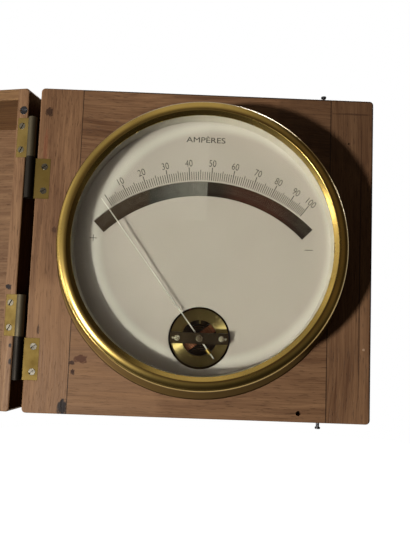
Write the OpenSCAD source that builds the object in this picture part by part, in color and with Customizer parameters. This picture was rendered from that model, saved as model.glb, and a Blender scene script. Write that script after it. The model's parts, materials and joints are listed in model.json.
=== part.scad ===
// Brass drum ammeter on the panel of a shallow wooden case, with a deep hinged lid.
// The row frame has X to the right, Z up and the dial facing -Y.
// Its origin is the middle of the case's back.
// Pieces are drawn in a front frame: x right, y up, z out of the panel's front face towards the reader.

/* [Case] */
// Width of the case and lid
case_w = 205; // [202:1:230]
// Height of the case and lid
case_h = 196.5; // [192:0.5:225]
// Depth of the case from its back to the panel's front
case_d = 32; // [30:0.5:38]
// Thickness of the front panel
panel_t = 14; // [12:0.5:15]
// Width of the two end cleats of the panel
cleat_w = 26; // [20:0.5:32]
// Thickness of the tongues between the middle board and the cleats
tongue_t = 4.5; // [3:0.25:6]
// Length of those tongues
tongue_l = 7; // [4:0.5:10]
// Thickness of the four sides behind the panel
side_t = 8; // [6:0.5:12]
// Thickness of the back board
back_t = 5; // [4:0.5:7]
// Rounding of the upright corners of case and lid
corner_r = 2.5; // [1:0.25:4]
// Width of the opening in the back board
back_opening_w = 92; // [80:1:110]
// Height of the opening in the back board
back_opening_h = 38; // [30:1:50]

/* [Hinges] */
// Gap between the sides of case and lid when the lid is open
hinge_gap = 7.8; // [7:0.1:9]
// Height of the hinge axis over the panel
hinge_lift = 0.25; // [0.2:0.05:0.5]
// Distance of each hinge's middle from mid height
hinge_y = 54.2; // [40:0.2:62]
// Diameter of the knuckles
knuckle_d = 5.2; // [4.6:0.1:5.6]
// Diameter of the hinge pins
hinge_pin_d = 2.6; // [2:0.1:3]
// Height of one leaf
leaf_h = 24.6; // [18:0.2:28]
// Thickness of the leaves
leaf_t = 1.2; // [0.8:0.1:1.6]
// Width of the case leaves on the wood
case_leaf_w = 8.3; // [7:0.1:10]
// Width of the lid leaves on the wood
lid_leaf_w = 6.2; // [5.4:0.1:6.8]
// Thickness of the ring between two knuckles
ring_t = 0.8; // [0.6:0.1:1.2]
// Spacing of the two screws in a leaf
leaf_screw_pitch = 14.8; // [10:0.2:16]
// Distance of the case leaf's screws from the edge of the case
case_screw_in = 4.9; // [4:0.1:5.6]
// Distance of the lid leaf's screws from the edge of the lid
lid_screw_in = 3.3; // [2.8:0.1:3.6]

/* [Lid] */
// Inner depth of the lid
lid_depth = 50; // [46:0.5:60]
// Thickness of the lid's walls
lid_wall = 7.2; // [6.6:0.1:8]
// Thickness of the lid's board
lid_board_t = 6; // [4:0.5:8]
// Gap that is left where the open lid comes to rest on the case's back edge
lid_rest_gap = 0.6; // [0.4:0.1:1]
// Height of the screw in the lid's rim above mid height
rim_screw_y = 84.2; // [82:0.2:88]

/* [Latches] */
// Distance of pins and hooks from the side away from the hinges
latch_in = 29.5; // [24:0.5:36]
// Depth of the pins behind the panel's front
latch_pin_z = 7; // [5:0.5:8]
// Diameter of the latch pins
latch_pin_d = 2; // [1.6:0.1:2.6]
// Diameter of the heads of the latch pins
latch_head_d = 3.2; // [2.8:0.1:4]
// Length of a latch pin outside the wood
latch_pin_out = 4.4; // [4:0.1:6]
// Distance of the hook's pivot from the lid's rim
hook_pivot_in = 12; // [9:0.5:16]
// Width of the hook's arm
hook_arm_w = 4.4; // [3.6:0.1:5]
// Thickness of the hooks
hook_t = 1.2; // [0.8:0.1:1.6]

/* [Drum] */
// Radius of the drum's flange on the panel
flange_r = 87; // [84:0.5:90]
// Outer radius of the drum's wall
drum_r = 75.5; // [75:0.1:76.5]
// Height of the drum's wall over the panel
drum_h = 36.9; // [36.5:0.1:40]
// Thickness of the drum's wall
drum_wall = 1.8; // [1.4:0.1:2]
// Thickness of the drum's floor and flange
floor_t = 2.2; // [1.8:0.1:2.6]
// Radius of the circle of the flange's screws
drum_screw_r = 82; // [80.5:0.5:83]
// Radius of the bezel's opening
bezel_in_r = 70; // [68:0.1:70.2]
// Width of the bezel's skirt around the drum
bezel_skirt_t = 1.1; // [0.9:0.1:1.4]
// Length of the bezel's skirt down the drum's wall
bezel_skirt_l = 10; // [6:0.5:14]
// Radius of the bead along the bezel's outer edge
bead_r = 0.75; // [0.5:0.05:0.9]
// Radius of the rounded band in the bezel's front
band_r = 3.4; // [3.2:0.1:4]
// Height of the bezel's crest over the pane
crest_h = 2.3; // [2:0.1:3]
// Thickness of the pane
glass_t = 2.6; // [2:0.1:3]
// Thickness of the seal under the pane
seal_t = 0.5; // [0.3:0.1:0.8]

/* [Dial] */
// Height of the dial's face over the panel
dial_z = 28; // [27.8:0.1:29]
// Thickness of the dial
dial_t = 1; // [0.8:0.1:1.2]
// Width of the pale ring between pane and dial
spacer_w = 3.2; // [2.6:0.1:3.4]
// Width of the ring that the dial lies on
seat_w = 3; // [2:0.25:3.5]
// Distance of the needle's pivot below the drum's middle
pivot_drop = 50; // [48:0.25:51]
// Radius of the hole over the movement
dial_hole_r = 16.8; // [16.6:0.1:18]
// Inner radius of the mirror's slot, from the pivot
mirror_in_r = 78; // [74:0.5:79]
// Width of the mirror's slot
mirror_w = 8.5; // [6:0.1:9]
// Half angle of the mirror's slot
mirror_half = 44.4; // [40:0.1:46]
// Border of the mirror under the dial
mirror_lap = 1; // [0.5:0.1:2]
// Thickness of the mirror
mirror_t = 0.8; // [0.5:0.1:1]

/* [Needle] */
// Angle of the needle at rest, from upright
needle_rest = -37.2; // [-39:0.1:-34]
// Length of the needle from its pivot
needle_l = 92; // [88:0.5:96]
// Rise of the needle from its hub to its tip
needle_rise = 3.8; // [2:0.1:5]
// Width of the needle at its hub
needle_w = 0.7; // [0.6:0.05:1]
// Width of the needle at its tip
needle_tip_w = 0.3; // [0.25:0.05:0.5]
// Height of the needle's section
needle_t = 0.5; // [0.4:0.05:0.6]
// Height of the needle over the dial, at its hub
needle_gap = 1.8; // [1.6:0.1:2]
// Length of the tail behind the pivot
tail_l = 13.4; // [12:0.1:14]
// Distance of the balance weight from the pivot
weight_r = 8.6; // [7:0.1:9.5]
// Diameter of the balance weight
weight_d = 2; // [1.6:0.1:2.2]
// Length of the balance weight
weight_l = 3; // [2:0.1:3.6]
// Diameter of the needle's hub
hub_d = 4.6; // [4:0.1:5]
// Height of the needle's hub
hub_h = 1.6; // [1.2:0.1:1.8]

/* [Movement] */
// Thickness of the base plate
plate_t = 2.4; // [2:0.1:2.6]
// Half width of the base plate
plate_half_w = 34; // [33:0.5:35]
// Reach of the base plate above the pivot
plate_up = 72; // [70:0.5:76]
// Reach of the base plate below the pivot
plate_down = 6; // [4:0.5:6]
// Height of the magnet
magnet_h = 14.4; // [13:0.1:15]
// Inner half width between the magnet's legs
magnet_in = 16; // [15.5:0.1:16.5]
// Width of the magnet's bar
magnet_w = 12; // [10:0.25:12.5]
// Length of the magnet's straight legs above the pivot
magnet_up = 40; // [36:0.5:44]
// Length of the magnet's legs below the pivot
magnet_down = 12; // [11:0.25:12]
// Radius of the bore between the poles
pole_bore_r = 10.5; // [10.4:0.1:11]
// Half height of the poles in the front view
pole_half = 11; // [9:0.25:11]
// Height of the poles
pole_h = 12.4; // [11:0.1:12.8]
// Gap at the middle between the two poles
pole_gap = 6; // [5:0.25:8]
// Radius of the iron core
core_r = 7.4; // [7:0.1:7.5]
// Length of the iron core
core_l = 10.6; // [9:0.1:10.8]
// Width of the core's bracket
bracket_w = 5; // [3:0.25:6]
// Inner half width of the coil's frame
former_half = 8; // [7.9:0.05:8.1]
// Wall of the coil's frame
former_t = 0.6; // [0.4:0.05:0.7]
// Width of the coil's frame
former_w = 6; // [5:0.1:6.4]
// Thickness of the winding
winding_t = 1; // [0.7:0.05:1.1]
// Width of the winding
winding_w = 4.8; // [4:0.1:5]
// Diameter of the spindle
spindle_d = 1.2; // [1:0.1:1.4]
// Gap between the dial's hole and the brass ring below it
ring_hole_gap = 1; // [0.8:0.1:1.2]
// Width of that ring
ring_w = 6.1; // [5.8:0.1:6.4]
// Thickness of that ring
ring_plate_t = 2; // [1.6:0.1:2.2]
// Height of the ring over the winding
ring_over_coil = 1; // [0.8:0.1:1.2]
// Width of the bridge
bridge_w = 5.9; // [5:0.1:6.4]
// Half length of the bridge
bridge_half = 15.2; // [14.8:0.1:15.4]
// Thickness of the bridge's bar
bridge_t = 1.8; // [1.4:0.1:2]
// Gap between the needle and the bridge
bridge_over_needle = 0.9; // [0.7:0.1:1]
// Diameter of the jewel screw's head
jewel_d = 3.7; // [3.2:0.1:4.2]
// Turns of a hairspring
spring_turns = 5; // [4:1:6]
// Inner radius of a hairspring
spring_in_r = 1.9; // [1.8:0.1:2.2]
// Outer radius of a hairspring
spring_out_r = 7.6; // [7:0.1:7.8]
// Thickness of a hairspring's band
spring_band_t = 0.3; // [0.2:0.05:0.35]
// Height of a hairspring's band
spring_band_h = 0.6; // [0.4:0.05:0.6]

/* [Terminals] */
// Distance between the two terminal studs
stud_pitch = 50; // [44:1:56]
// Height of the studs above the drum's middle
stud_y = 48; // [44:0.5:50]
// Diameter of the studs
stud_d = 5; // [4:0.5:6]
// Diameter of the plain pin at a stud's free end, for the socket of a lead
contact_pin_d = 4; // [3:0.25:4]
// Length of that pin
contact_pin_l = 5.9; // [5:0.1:6.2]
// Diameter of the insulating bushes in the panel
bush_d = 10; // [9:0.5:11]
// Thickness of the bushes' flanges
bush_flange_t = 1.5; // [1:0.1:2]
// Diameter of the bushes' flanges, which stand a rim outside the studs' heads
stud_head_d = 14; // [12:0.5:15]
// Height of the studs' heads
stud_head_h = 3.5; // [2.5:0.25:4]
// Thickness of the washers
washer_t = 1.2; // [0.8:0.1:1.4]
// Diameter of the washers
washer_d = 16; // [14:0.5:17]
// Width across the flats of the nuts
nut_af = 8; // [8:0.5:10]
// Thickness of the nuts
nut_t = 4; // [3:0.25:4]
// Diameter of the inner wires
lead_d = 1; // [0.8:0.1:1.2]

/* [Screws] */
// Head diameter of the hinge screws
hinge_screw_head = 4; // [3.6:0.1:4.2]
// Length of the hinge screws
hinge_screw_l = 10; // [8:0.5:11]
// Head diameter of the flange's screws
drum_screw_head = 5.6; // [5:0.1:6]
// Length of the flange's screws
drum_screw_l = 11; // [9:0.5:11.5]
// Head diameter of the screw in the lid's rim
rim_screw_head = 5.2; // [4.6:0.1:5.6]
// Head diameter of the back board's screws
back_screw_head = 5; // [4.4:0.1:5.4]
// Length of the back board's screws
back_screw_l = 12; // [10:0.5:14]

/* [Hidden] */
$fn = 96;

// Shared clearances
fit_gap = 0.05;
wood_gap = 0.1;
seat_gap = 0.1;
over = 1;

// Case and lid
half_w = case_w / 2;
half_h = case_h / 2;
hinge_x = -half_w - hinge_gap / 2;
rim_z = 2 * hinge_lift;
lid_inner_z = rim_z + lid_depth;
hinge_arm = norm([hinge_gap / 2, case_d + hinge_lift]);
past_flat = acos((lid_rest_gap - hinge_gap / 2) / hinge_arm) - atan2(case_d + hinge_lift, hinge_gap / 2);
lid_open_angle = 180 + past_flat;
nail_right_in = 14.9;
nail_right_y = 70.8;
nail_right_d = 1.5;
nail_low_in = 42.6;
nail_low_up = 5.2;
nail_low_d = 3;
nail_depth = 6;

// Latches
latch_x = half_w - latch_in;
hook_z = rim_z + hook_pivot_in;
hook_reach = hook_z + latch_pin_z;
hook_lift = 0.2;
hook_screw_d = 2.6;
hook_hub_r = 3.4;
hook_end_r = 4.2;
latch_head_t = 1;
latch_pin_in = 12;
notch_gap = 0.35;

// Drum levels
drum_in_r = drum_r - drum_wall;
glass_z = drum_h + seal_t;
lip_z = glass_z + glass_t;
glass_r = drum_r - 2 * seat_gap;
flange_fillet_r = 1.5;
bezel_skirt_r = drum_r + fit_gap + bezel_skirt_t;
bezel_bevel_w = 2.6;
bezel_bevel_h = 1.75;
bezel_crest_w = 0.7;
bead_in = 0.15;
dial_r = drum_in_r - 2 * seat_gap;
dial_back_z = dial_z - dial_t;
mirror_out_r = mirror_in_r + mirror_w;

// Movement levels, from the drum's floor upwards
pivot = [0, -pivot_drop];
plate_top_z = floor_t + plate_t;
lower_coil_gap = 1.8;
coil_low_z = plate_top_z + lower_coil_gap;
former_low_z = coil_low_z + winding_t;
core_clear = former_half - core_r;
core_low_z = former_low_z + former_t + 2 * core_clear;
former_top_z = core_low_z + core_l + 2 * core_clear + former_t;
coil_top_z = former_top_z + winding_t;
pole_low_z = core_low_z + core_l / 2 - pole_h / 2;
ring_z = coil_top_z + ring_over_coil;
ring_top_z = ring_z + ring_plate_t;
ring_r = dial_hole_r - ring_hole_gap;
ring_in_r = ring_r - ring_w;
needle_z = dial_z + needle_gap;
bridge_z = needle_z + needle_t + bridge_over_needle;
bridge_top_z = bridge_z + bridge_t;
coil_half = former_half + former_t + winding_t;
eye_d = spindle_d + 2;
pillar_d = 3.4;
pillar_r = (ring_r + pole_bore_r) / 2;
pillar_angle = 22;
foot_in = ring_in_r + 0.6;
bridge_screw_in = 3.4;
bridge_screw_x = bridge_half - bridge_screw_in;
bridge_screw_d = 1.6;
bridge_screw_head_d = 3;
bridge_screw_head_h = 0.9;
bridge_pin_x = bridge_half - 1.1;
bridge_pin_d = 1.2;
jewel_body_d = 2.6;
jewel_head_h = 1.1;
jewel_cup = 0.6;
jewel_slot = 0.5;
collet_d = 4;
collet_h = 0.6;
plate_screw_in = 3;
plate_screw_head = 4;
plate_screw_l = 3.6;

// Hairsprings: each band is one unbroken spiral with a steady pitch
spring_steps = 30;
spring_pitch = (spring_out_r - spring_in_r) / spring_turns;
spring_upper_z = ring_top_z + 0.8;
spring_lower_z = plate_top_z + 0.3;
spring_post_r = 0.9;
spring_post_y = ring_in_r + 1.5;

// Terminals
stud_x = stud_pitch / 2;
stud_hole_d = stud_d + 2 * fit_gap;
bush_hole_d = bush_d + 2 * fit_gap;
stud_top_z = floor_t + bush_flange_t + stud_head_h;
nut_z = -panel_t - washer_t - nut_t;
bush_rim = 1.5;
relief_w = 0.6;
relief_in = 0.4;

// Wire routes, in the front frame: each leaves the stud's head and reaches the ring or the plate upright
lead_rise = 2.5;
lead_side = 5;
lead_in = 3;
lead_high_z = ring_z - lead_rise;
lead_low_z = stud_top_z + lead_rise;
lead_ring_y = pivot[1] + (ring_r + ring_in_r) / 2;
lead_plate_y = pivot[1] + plate_up - lead_in;
lead_left_path = [
  [-stud_x, stud_y, stud_top_z], [-stud_x, stud_y, lead_high_z],
  [-lead_side, lead_ring_y, lead_high_z], [-lead_side, lead_ring_y, ring_z]
];
lead_right_path = [
  [stud_x, stud_y, stud_top_z], [stud_x, stud_y, lead_low_z],
  [stud_x + lead_in, lead_plate_y, lead_low_z], [stud_x + lead_in, lead_plate_y, plate_top_z]
];

// Colours
walnut = "#7a5436";
oak = "#9a6a3c";
brass = "#b08d2f";
steel = "#6d6f72";

// Turns the front frame into the row frame
module from_front() {
  translate([0, -case_d, 0]) rotate([90, 0, 0]) children();
}

// Turns the closed lid to its open place at rest
module lid_opened() {
  translate([hinge_x, 0, hinge_lift]) rotate([0, -lid_open_angle, 0])
    translate([-hinge_x, 0, -hinge_lift]) children();
}

// Turns a hook about its pivot from the pin to its place at rest
module hook_turned() {
  translate([latch_x, 0, hook_z]) rotate([0, 90, 0]) translate([-latch_x, 0, -hook_z]) children();
}

// Box between two corners
module slab(low, high) {
  translate(low) cube(high - low);
}

// Ring or disc about the z axis
module ring(outer_r, inner_r, z0, z1) {
  difference() {
    translate([0, 0, z0]) cylinder(r = outer_r, h = z1 - z0);
    translate([0, 0, z0 - over]) cylinder(r = inner_r, h = z1 - z0 + 2 * over);
  }
}

// Cylinder along y, as for knuckles, pins and hooks
module rod_y(r, y0, y1) {
  translate([0, y0, 0]) rotate([-90, 0, 0]) cylinder(r = r, h = y1 - y0);
}

// Waste outside the rounded corner at (sx, sy), over a range of z
module corner_waste(sx, sy, z0, z1) {
  inset = [sx * (half_w - corner_r), sy * (half_h - corner_r)];
  translate([0, 0, z0 - over]) difference() {
    translate([inset[0] + (sx < 0 ? -corner_r - over : 0), inset[1] + (sy < 0 ? -corner_r - over : 0), 0])
      cube([corner_r + over, corner_r + over, z1 - z0 + 2 * over]);
    translate([inset[0], inset[1], -over]) cylinder(r = corner_r, h = z1 - z0 + 4 * over);
  }
}

// Slotted countersunk screw with its head flush at z = 0, pointing down
module screw(head_d, length) {
  shank_d = head_d * 0.55;
  head_h = head_d * 0.4;
  slot_w = head_d * 0.16;
  difference() {
    union() {
      translate([0, 0, -head_h]) cylinder(d1 = shank_d, d2 = head_d, h = head_h);
      translate([0, 0, -length]) cylinder(d = shank_d, h = length - head_h);
    }
    translate([-head_d, -slot_w / 2, -head_h * 0.45]) cube([2 * head_d, slot_w, head_h]);
  }
}

// Hole that such a screw sits in
module screw_hole(head_d, length) {
  shank_d = head_d * 0.55 + 2 * fit_gap;
  head_h = head_d * 0.4;
  translate([0, 0, -head_h]) cylinder(d1 = shank_d, d2 = head_d + 2 * fit_gap, h = head_h);
  translate([0, 0, -fit_gap]) cylinder(d = head_d + 2 * fit_gap, h = over);
  translate([0, 0, -length - fit_gap]) cylinder(d = shank_d, h = length);
}

// Middle of a leaf's height: side is 1 for the lid's leaf and -1 for the case's
function leaf_mid(hinge, side) = hinge * hinge_y + side * (ring_t + leaf_h) / 2;

// Places of the screws in the leaves of one side
module at_leaf_screws(side, edge_in, z) {
  for (hinge = [-1, 1], step = [-0.5, 0.5])
    translate([-half_w + edge_in, leaf_mid(hinge, side) + step * leaf_screw_pitch, z]) children();
}

module at_back_screws() {
  for (sx = [-1, 1], sy = [-1, 1])
    translate([sx * (half_w - side_t / 2), sy * (half_h - side_t / 2), -case_d])
      rotate([180, 0, 0]) children();
}

module at_studs() {
  for (sx = [-1, 1]) translate([sx * stud_x, stud_y, 0]) children();
}

module at_drum_screws() {
  for (turn = [90, 210, 330]) rotate(turn) translate([drum_screw_r, 0, floor_t]) children();
}

module at_plate_screws() {
  for (sx = [-1, 1], y = [-plate_down + plate_screw_in, plate_up - plate_screw_in])
    translate([sx * (plate_half_w - plate_screw_in), pivot[1] + y, plate_top_z]) children();
}

module at_pillars() {
  for (turn = [0, 180], side = [-1, 1])
    translate(pivot) rotate(turn + side * pillar_angle) translate([pillar_r, 0, 0]) children();
}

// Box that a leaf fills in the wood, with a clearance for its mortise
module leaf_plate(side, width, z0, z1, reach, gap) {
  for (hinge = [-1, 1]) {
    mid = leaf_mid(hinge, side);
    slab([reach, mid - leaf_h / 2 - gap, z0], [-half_w + width + gap, mid + leaf_h / 2 + gap, z1]);
  }
}

// Two leaves with their knuckles, bored for the pins
module hinge_leaves(side, width, z0, z1) {
  difference() {
    union() {
      leaf_plate(side, width, z0, z1, hinge_x, 0);
      for (hinge = [-1, 1]) {
        mid = leaf_mid(hinge, side);
        translate([hinge_x, 0, hinge_lift]) rod_y(knuckle_d / 2, mid - leaf_h / 2, mid + leaf_h / 2);
      }
    }
    translate([hinge_x, 0, hinge_lift]) rod_y(hinge_pin_d / 2 + fit_gap, -half_h, half_h);
  }
}

module front_board() {
  end = half_w - cleat_w;
  color(walnut) from_front() difference() {
    union() {
      slab([-end, -half_h, -panel_t], [end, half_h, 0]);
      slab([-end - tongue_l, -half_h, -(panel_t + tongue_t) / 2],
           [end + tongue_l, half_h, (tongue_t - panel_t) / 2]);
    }
    at_studs() translate([0, 0, -panel_t - over]) cylinder(d = bush_hole_d, h = panel_t + 2 * over);
    at_drum_screws() screw_hole(drum_screw_head, drum_screw_l);
    translate([half_w - nail_low_in, nail_low_up - half_h, -nail_depth])
      cylinder(d = nail_low_d, h = nail_depth + over);
    for (sy = [-1, 1]) latch_pin(sy, fit_gap);
  }
}

// End cleat on the right, grooved for the tongue
module cleat_blank() {
  inner = half_w - cleat_w;
  difference() {
    slab([inner, -half_h, -panel_t], [half_w, half_h, 0]);
    slab([inner - over, -half_h - over, -(panel_t + tongue_t) / 2 - wood_gap],
         [inner + tongue_l + wood_gap, half_h + over, (tongue_t - panel_t) / 2 + wood_gap]);
    for (sy = [-1, 1]) corner_waste(1, sy, -panel_t, 0);
    at_drum_screws() screw_hole(drum_screw_head, drum_screw_l);
  }
}

module cleat_right() {
  color(walnut) from_front() difference() {
    cleat_blank();
    translate([half_w - nail_right_in, nail_right_y, -nail_depth])
      cylinder(d = nail_right_d, h = nail_depth + over);
  }
}

module cleat_left() {
  color(walnut) from_front() difference() {
    mirror([1, 0, 0]) cleat_blank();
    leaf_plate(-1, case_leaf_w, -leaf_t, over, -half_w - over, wood_gap);
    at_leaf_screws(-1, case_screw_in, 0) screw_hole(hinge_screw_head, hinge_screw_l);
  }
}

// Left or right side behind the panel
module case_side(sx) {
  color(walnut) from_front() difference() {
    slab([sx > 0 ? half_w - side_t : -half_w, -half_h, back_t - case_d],
         [sx > 0 ? half_w : side_t - half_w, half_h, -panel_t]);
    for (sy = [-1, 1]) corner_waste(sx, sy, back_t - case_d, -panel_t);
    at_back_screws() screw_hole(back_screw_head, back_screw_l);
  }
}

module case_left() { case_side(-1); }

module case_right() { case_side(1); }

// Top or bottom of the box, between its sides
module case_rail(sy) {
  end = half_w - side_t;
  color(walnut) from_front()
    slab([-end, sy > 0 ? half_h - side_t : -half_h, back_t - case_d],
         [end, sy > 0 ? half_h : side_t - half_h, -panel_t]);
}

module case_top() { case_rail(1); }

module case_bottom() { case_rail(-1); }

module back_board() {
  color(oak) from_front() difference() {
    slab([-half_w, -half_h, -case_d], [half_w, half_h, back_t - case_d]);
    for (sx = [-1, 1], sy = [-1, 1]) corner_waste(sx, sy, -case_d, back_t - case_d);
    at_back_screws() screw_hole(back_screw_head, back_screw_l);
    slab([-back_opening_w / 2, stud_y - back_opening_h / 2, -case_d - over],
         [back_opening_w / 2, stud_y + back_opening_h / 2, back_t - case_d + over]);
  }
}

module back_screws() {
  color(steel) from_front() at_back_screws() screw(back_screw_head, back_screw_l);
}

// Headed pin in the top or bottom edge of the panel, or its hole where gap is set
module latch_pin(sy, gap) {
  translate([latch_x, 0, -latch_pin_z]) mirror([0, sy < 0 ? 1 : 0, 0])
    rod_y(latch_pin_d / 2 + gap, half_h - latch_pin_in - gap, half_h + latch_pin_out - latch_head_t);
}

module latch_pins() {
  color(steel) from_front() for (sy = [-1, 1]) {
    latch_pin(sy, 0);
    translate([latch_x, 0, -latch_pin_z]) mirror([0, sy < 0 ? 1 : 0, 0])
      rod_y(latch_head_d / 2, half_h + latch_pin_out - latch_head_t, half_h + latch_pin_out);
  }
}

module hinge_case_leaves() {
  color(brass) from_front() difference() {
    hinge_leaves(-1, case_leaf_w, -leaf_t, 0);
    at_leaf_screws(-1, case_screw_in, 0) screw_hole(hinge_screw_head, hinge_screw_l);
  }
}

module hinge_case_screws() {
  color("#c8b070") from_front() at_leaf_screws(-1, case_screw_in, 0)
    rotate(35) screw(hinge_screw_head, hinge_screw_l);
}

module hinge_pins() {
  pin_short = 1;
  color(brass) from_front() for (hinge = [-1, 1])
    translate([hinge_x, hinge * hinge_y, hinge_lift])
      rod_y(hinge_pin_d / 2, -ring_t / 2 - leaf_h, ring_t / 2 + leaf_h - pin_short);
}

module hinge_rings() {
  color(brass) from_front() for (hinge = [-1, 1])
    translate([hinge_x, hinge * hinge_y, hinge_lift]) difference() {
      rod_y(knuckle_d / 2, -ring_t / 2, ring_t / 2);
      rod_y(hinge_pin_d / 2 + fit_gap, -ring_t, ring_t);
    }
}

module hinge_lid_leaves() {
  color(brass) from_front() lid_opened() difference() {
    hinge_leaves(1, lid_leaf_w, rim_z, rim_z + leaf_t);
    at_leaf_screws(1, lid_screw_in, rim_z) rotate([180, 0, 0]) screw_hole(hinge_screw_head, hinge_screw_l);
  }
}

module hinge_lid_screws() {
  color("#c8b070") from_front() lid_opened() at_leaf_screws(1, lid_screw_in, rim_z)
    rotate([180, 0, 0]) rotate(60) screw(hinge_screw_head, hinge_screw_l);
}

// Upright wall of the lid, at the hinges or at the far side
module lid_wall_blank(sx) {
  difference() {
    slab([sx > 0 ? half_w - lid_wall : -half_w, -half_h, rim_z],
         [sx > 0 ? half_w : lid_wall - half_w, half_h, lid_inner_z]);
    for (sy = [-1, 1]) corner_waste(sx, sy, rim_z, lid_inner_z);
  }
}

module at_rim_screw() {
  translate([lid_wall / 2 - half_w - 0.6, rim_screw_y, rim_z]) rotate([180, 0, 0]) children();
}

module lid_hinge_side() {
  color(walnut) from_front() lid_opened() difference() {
    lid_wall_blank(-1);
    leaf_plate(1, lid_leaf_w, rim_z - over, rim_z + leaf_t, -half_w - over, wood_gap);
    at_leaf_screws(1, lid_screw_in, rim_z) rotate([180, 0, 0]) screw_hole(hinge_screw_head, hinge_screw_l);
    at_rim_screw() screw_hole(rim_screw_head, hinge_screw_l);
  }
}

module lid_far_side() {
  color(walnut) from_front() lid_opened() lid_wall_blank(1);
}

// Top or bottom wall of the lid, butted between the upright walls and drilled for the hook's screw
module lid_rail(sy) {
  end = half_w - lid_wall;
  color(oak) from_front() lid_opened() difference() {
    slab([-end, sy > 0 ? half_h - lid_wall : -half_h, rim_z],
         [end, sy > 0 ? half_h : lid_wall - half_h, lid_inner_z]);
    hook_screw_shank(sy, fit_gap);
  }
}

module lid_top() { lid_rail(1); }

module lid_bottom() { lid_rail(-1); }

module lid_board() {
  color(walnut) from_front() lid_opened() difference() {
    slab([-half_w, -half_h, lid_inner_z], [half_w, half_h, lid_inner_z + lid_board_t]);
    for (sx = [-1, 1], sy = [-1, 1]) corner_waste(sx, sy, lid_inner_z, lid_inner_z + lid_board_t);
  }
}

module lid_rim_screw() {
  color("#3a3a3c") from_front() lid_opened() at_rim_screw() screw(rim_screw_head, hinge_screw_l);
}

// Shank of a hook's pivot screw, or its hole where gap is set
module hook_screw_shank(sy, gap) {
  bite = 5.5;
  translate([latch_x, 0, hook_z]) mirror([0, sy < 0 ? 1 : 0, 0])
    rod_y(hook_screw_d / 2 + gap, half_h - bite - gap, half_h + 2 * hook_lift + hook_t);
}

// Swivel hook in its caught place: round hub, arm, round end and a notch that runs on an arc about the pivot
module hook(sy) {
  low = half_h + hook_lift;
  high = low + hook_t;
  notch_half = latch_pin_d / 2 + notch_gap;
  translate([latch_x, 0, hook_z]) mirror([0, sy < 0 ? 1 : 0, 0]) difference() {
    union() {
      rod_y(hook_hub_r, low, high);
      slab([-hook_arm_w / 2, low, -hook_reach], [hook_arm_w / 2, high, 0]);
      translate([0, 0, -hook_reach]) rod_y(hook_end_r, low, high);
    }
    rod_y(hook_screw_d / 2 + fit_gap, low - over, high + over);
    translate([0, 0, -hook_reach]) rod_y(notch_half, low - over, high + over);
    intersection() {
      difference() {
        rod_y(hook_reach + notch_half, low - over, high + over);
        rod_y(hook_reach - notch_half, low - 2 * over, high + 2 * over);
      }
      slab([0, low - over, -hook_reach - hook_end_r], [2 * hook_end_r, high + over, 0]);
    }
  }
}

module hook_top() {
  color(brass) from_front() lid_opened() hook_turned() hook(1);
}

module hook_bottom() {
  color(brass) from_front() lid_opened() hook_turned() hook(-1);
}

module hook_screws() {
  head_r = 2.4;
  head_h = 1.1;
  slot_w = 0.7;
  top = half_h + 2 * hook_lift + hook_t;
  color("#c8b070") from_front() lid_opened() for (sy = [-1, 1]) difference() {
    union() {
      hook_screw_shank(sy, 0);
      translate([latch_x, 0, hook_z]) mirror([0, sy < 0 ? 1 : 0, 0]) rod_y(head_r, top, top + head_h);
    }
    translate([latch_x, 0, hook_z]) mirror([0, sy < 0 ? 1 : 0, 0])
      slab([-2 * head_r, top + head_h / 2, -slot_w / 2], [2 * head_r, top + head_h + over, slot_w / 2]);
  }
}

// Spun cup: flat floor, round-edged flange, straight wall and a fillet where they meet
module drum_body() {
  color(brass) from_front() difference() {
    rotate_extrude() {
      square([flange_r - floor_t / 2, floor_t]);
      translate([flange_r - floor_t / 2, floor_t / 2]) circle(d = floor_t);
      translate([drum_in_r, 0]) square([drum_wall, drum_h]);
      translate([drum_r, floor_t]) difference() {
        square(flange_fillet_r);
        translate([flange_fillet_r, flange_fillet_r]) circle(r = flange_fillet_r);
      }
    }
    at_studs() translate([0, 0, -over]) cylinder(d = bush_hole_d, h = floor_t + 2 * over);
    at_drum_screws() screw_hole(drum_screw_head, drum_screw_l);
    at_plate_screws() translate([0, 0, -plate_top_z]) cylinder(d = plate_screw_head, h = plate_top_z);
  }
}

module drum_screws() {
  color(steel) from_front() at_drum_screws() rotate(20) screw(drum_screw_head, drum_screw_l);
}

// Front ring: skirt over the drum's wall, bead, rounded band, crest and a bevel down to the pane
module bezel() {
  skirt_in = drum_r + fit_gap;
  crest_z = lip_z + crest_h;
  band_x = bezel_in_r + bezel_bevel_w + bezel_crest_w;
  color(brass) from_front() rotate_extrude() {
    translate([skirt_in, lip_z - bezel_skirt_l]) square([bezel_skirt_t, bezel_skirt_l + bead_r]);
    translate([bezel_skirt_r - bead_in, lip_z + bead_r / 4]) circle(r = bead_r);
    polygon([
      [bezel_in_r, lip_z], [band_x, lip_z], [band_x, crest_z], [bezel_in_r + bezel_bevel_w, crest_z],
      [bezel_in_r, crest_z - bezel_bevel_h]
    ]);
    intersection() {
      translate([band_x, crest_z - band_r]) circle(r = band_r);
      translate([band_x - bezel_crest_w / 2, lip_z])
        square([bezel_skirt_r - band_x + bezel_crest_w / 2, crest_h]);
    }
  }
}

module glass() {
  color([0.85, 0.9, 0.88, 0.3]) from_front()
    translate([0, 0, glass_z]) cylinder(r = glass_r, h = glass_t);
}

module glass_seal() {
  color("#5a4a3a") from_front() ring(glass_r, drum_in_r, drum_h, glass_z);
}

module spacer_ring() {
  color("#d8d4c6") from_front() ring(dial_r, dial_r - spacer_w, dial_z, glass_z - seat_gap);
}

module dial_seat() {
  color(brass) from_front() difference() {
    ring(dial_r, drum_in_r - seat_w, floor_t, dial_back_z);
    at_drum_screws() screw_hole(drum_screw_head, drum_screw_l);
  }
}

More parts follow.
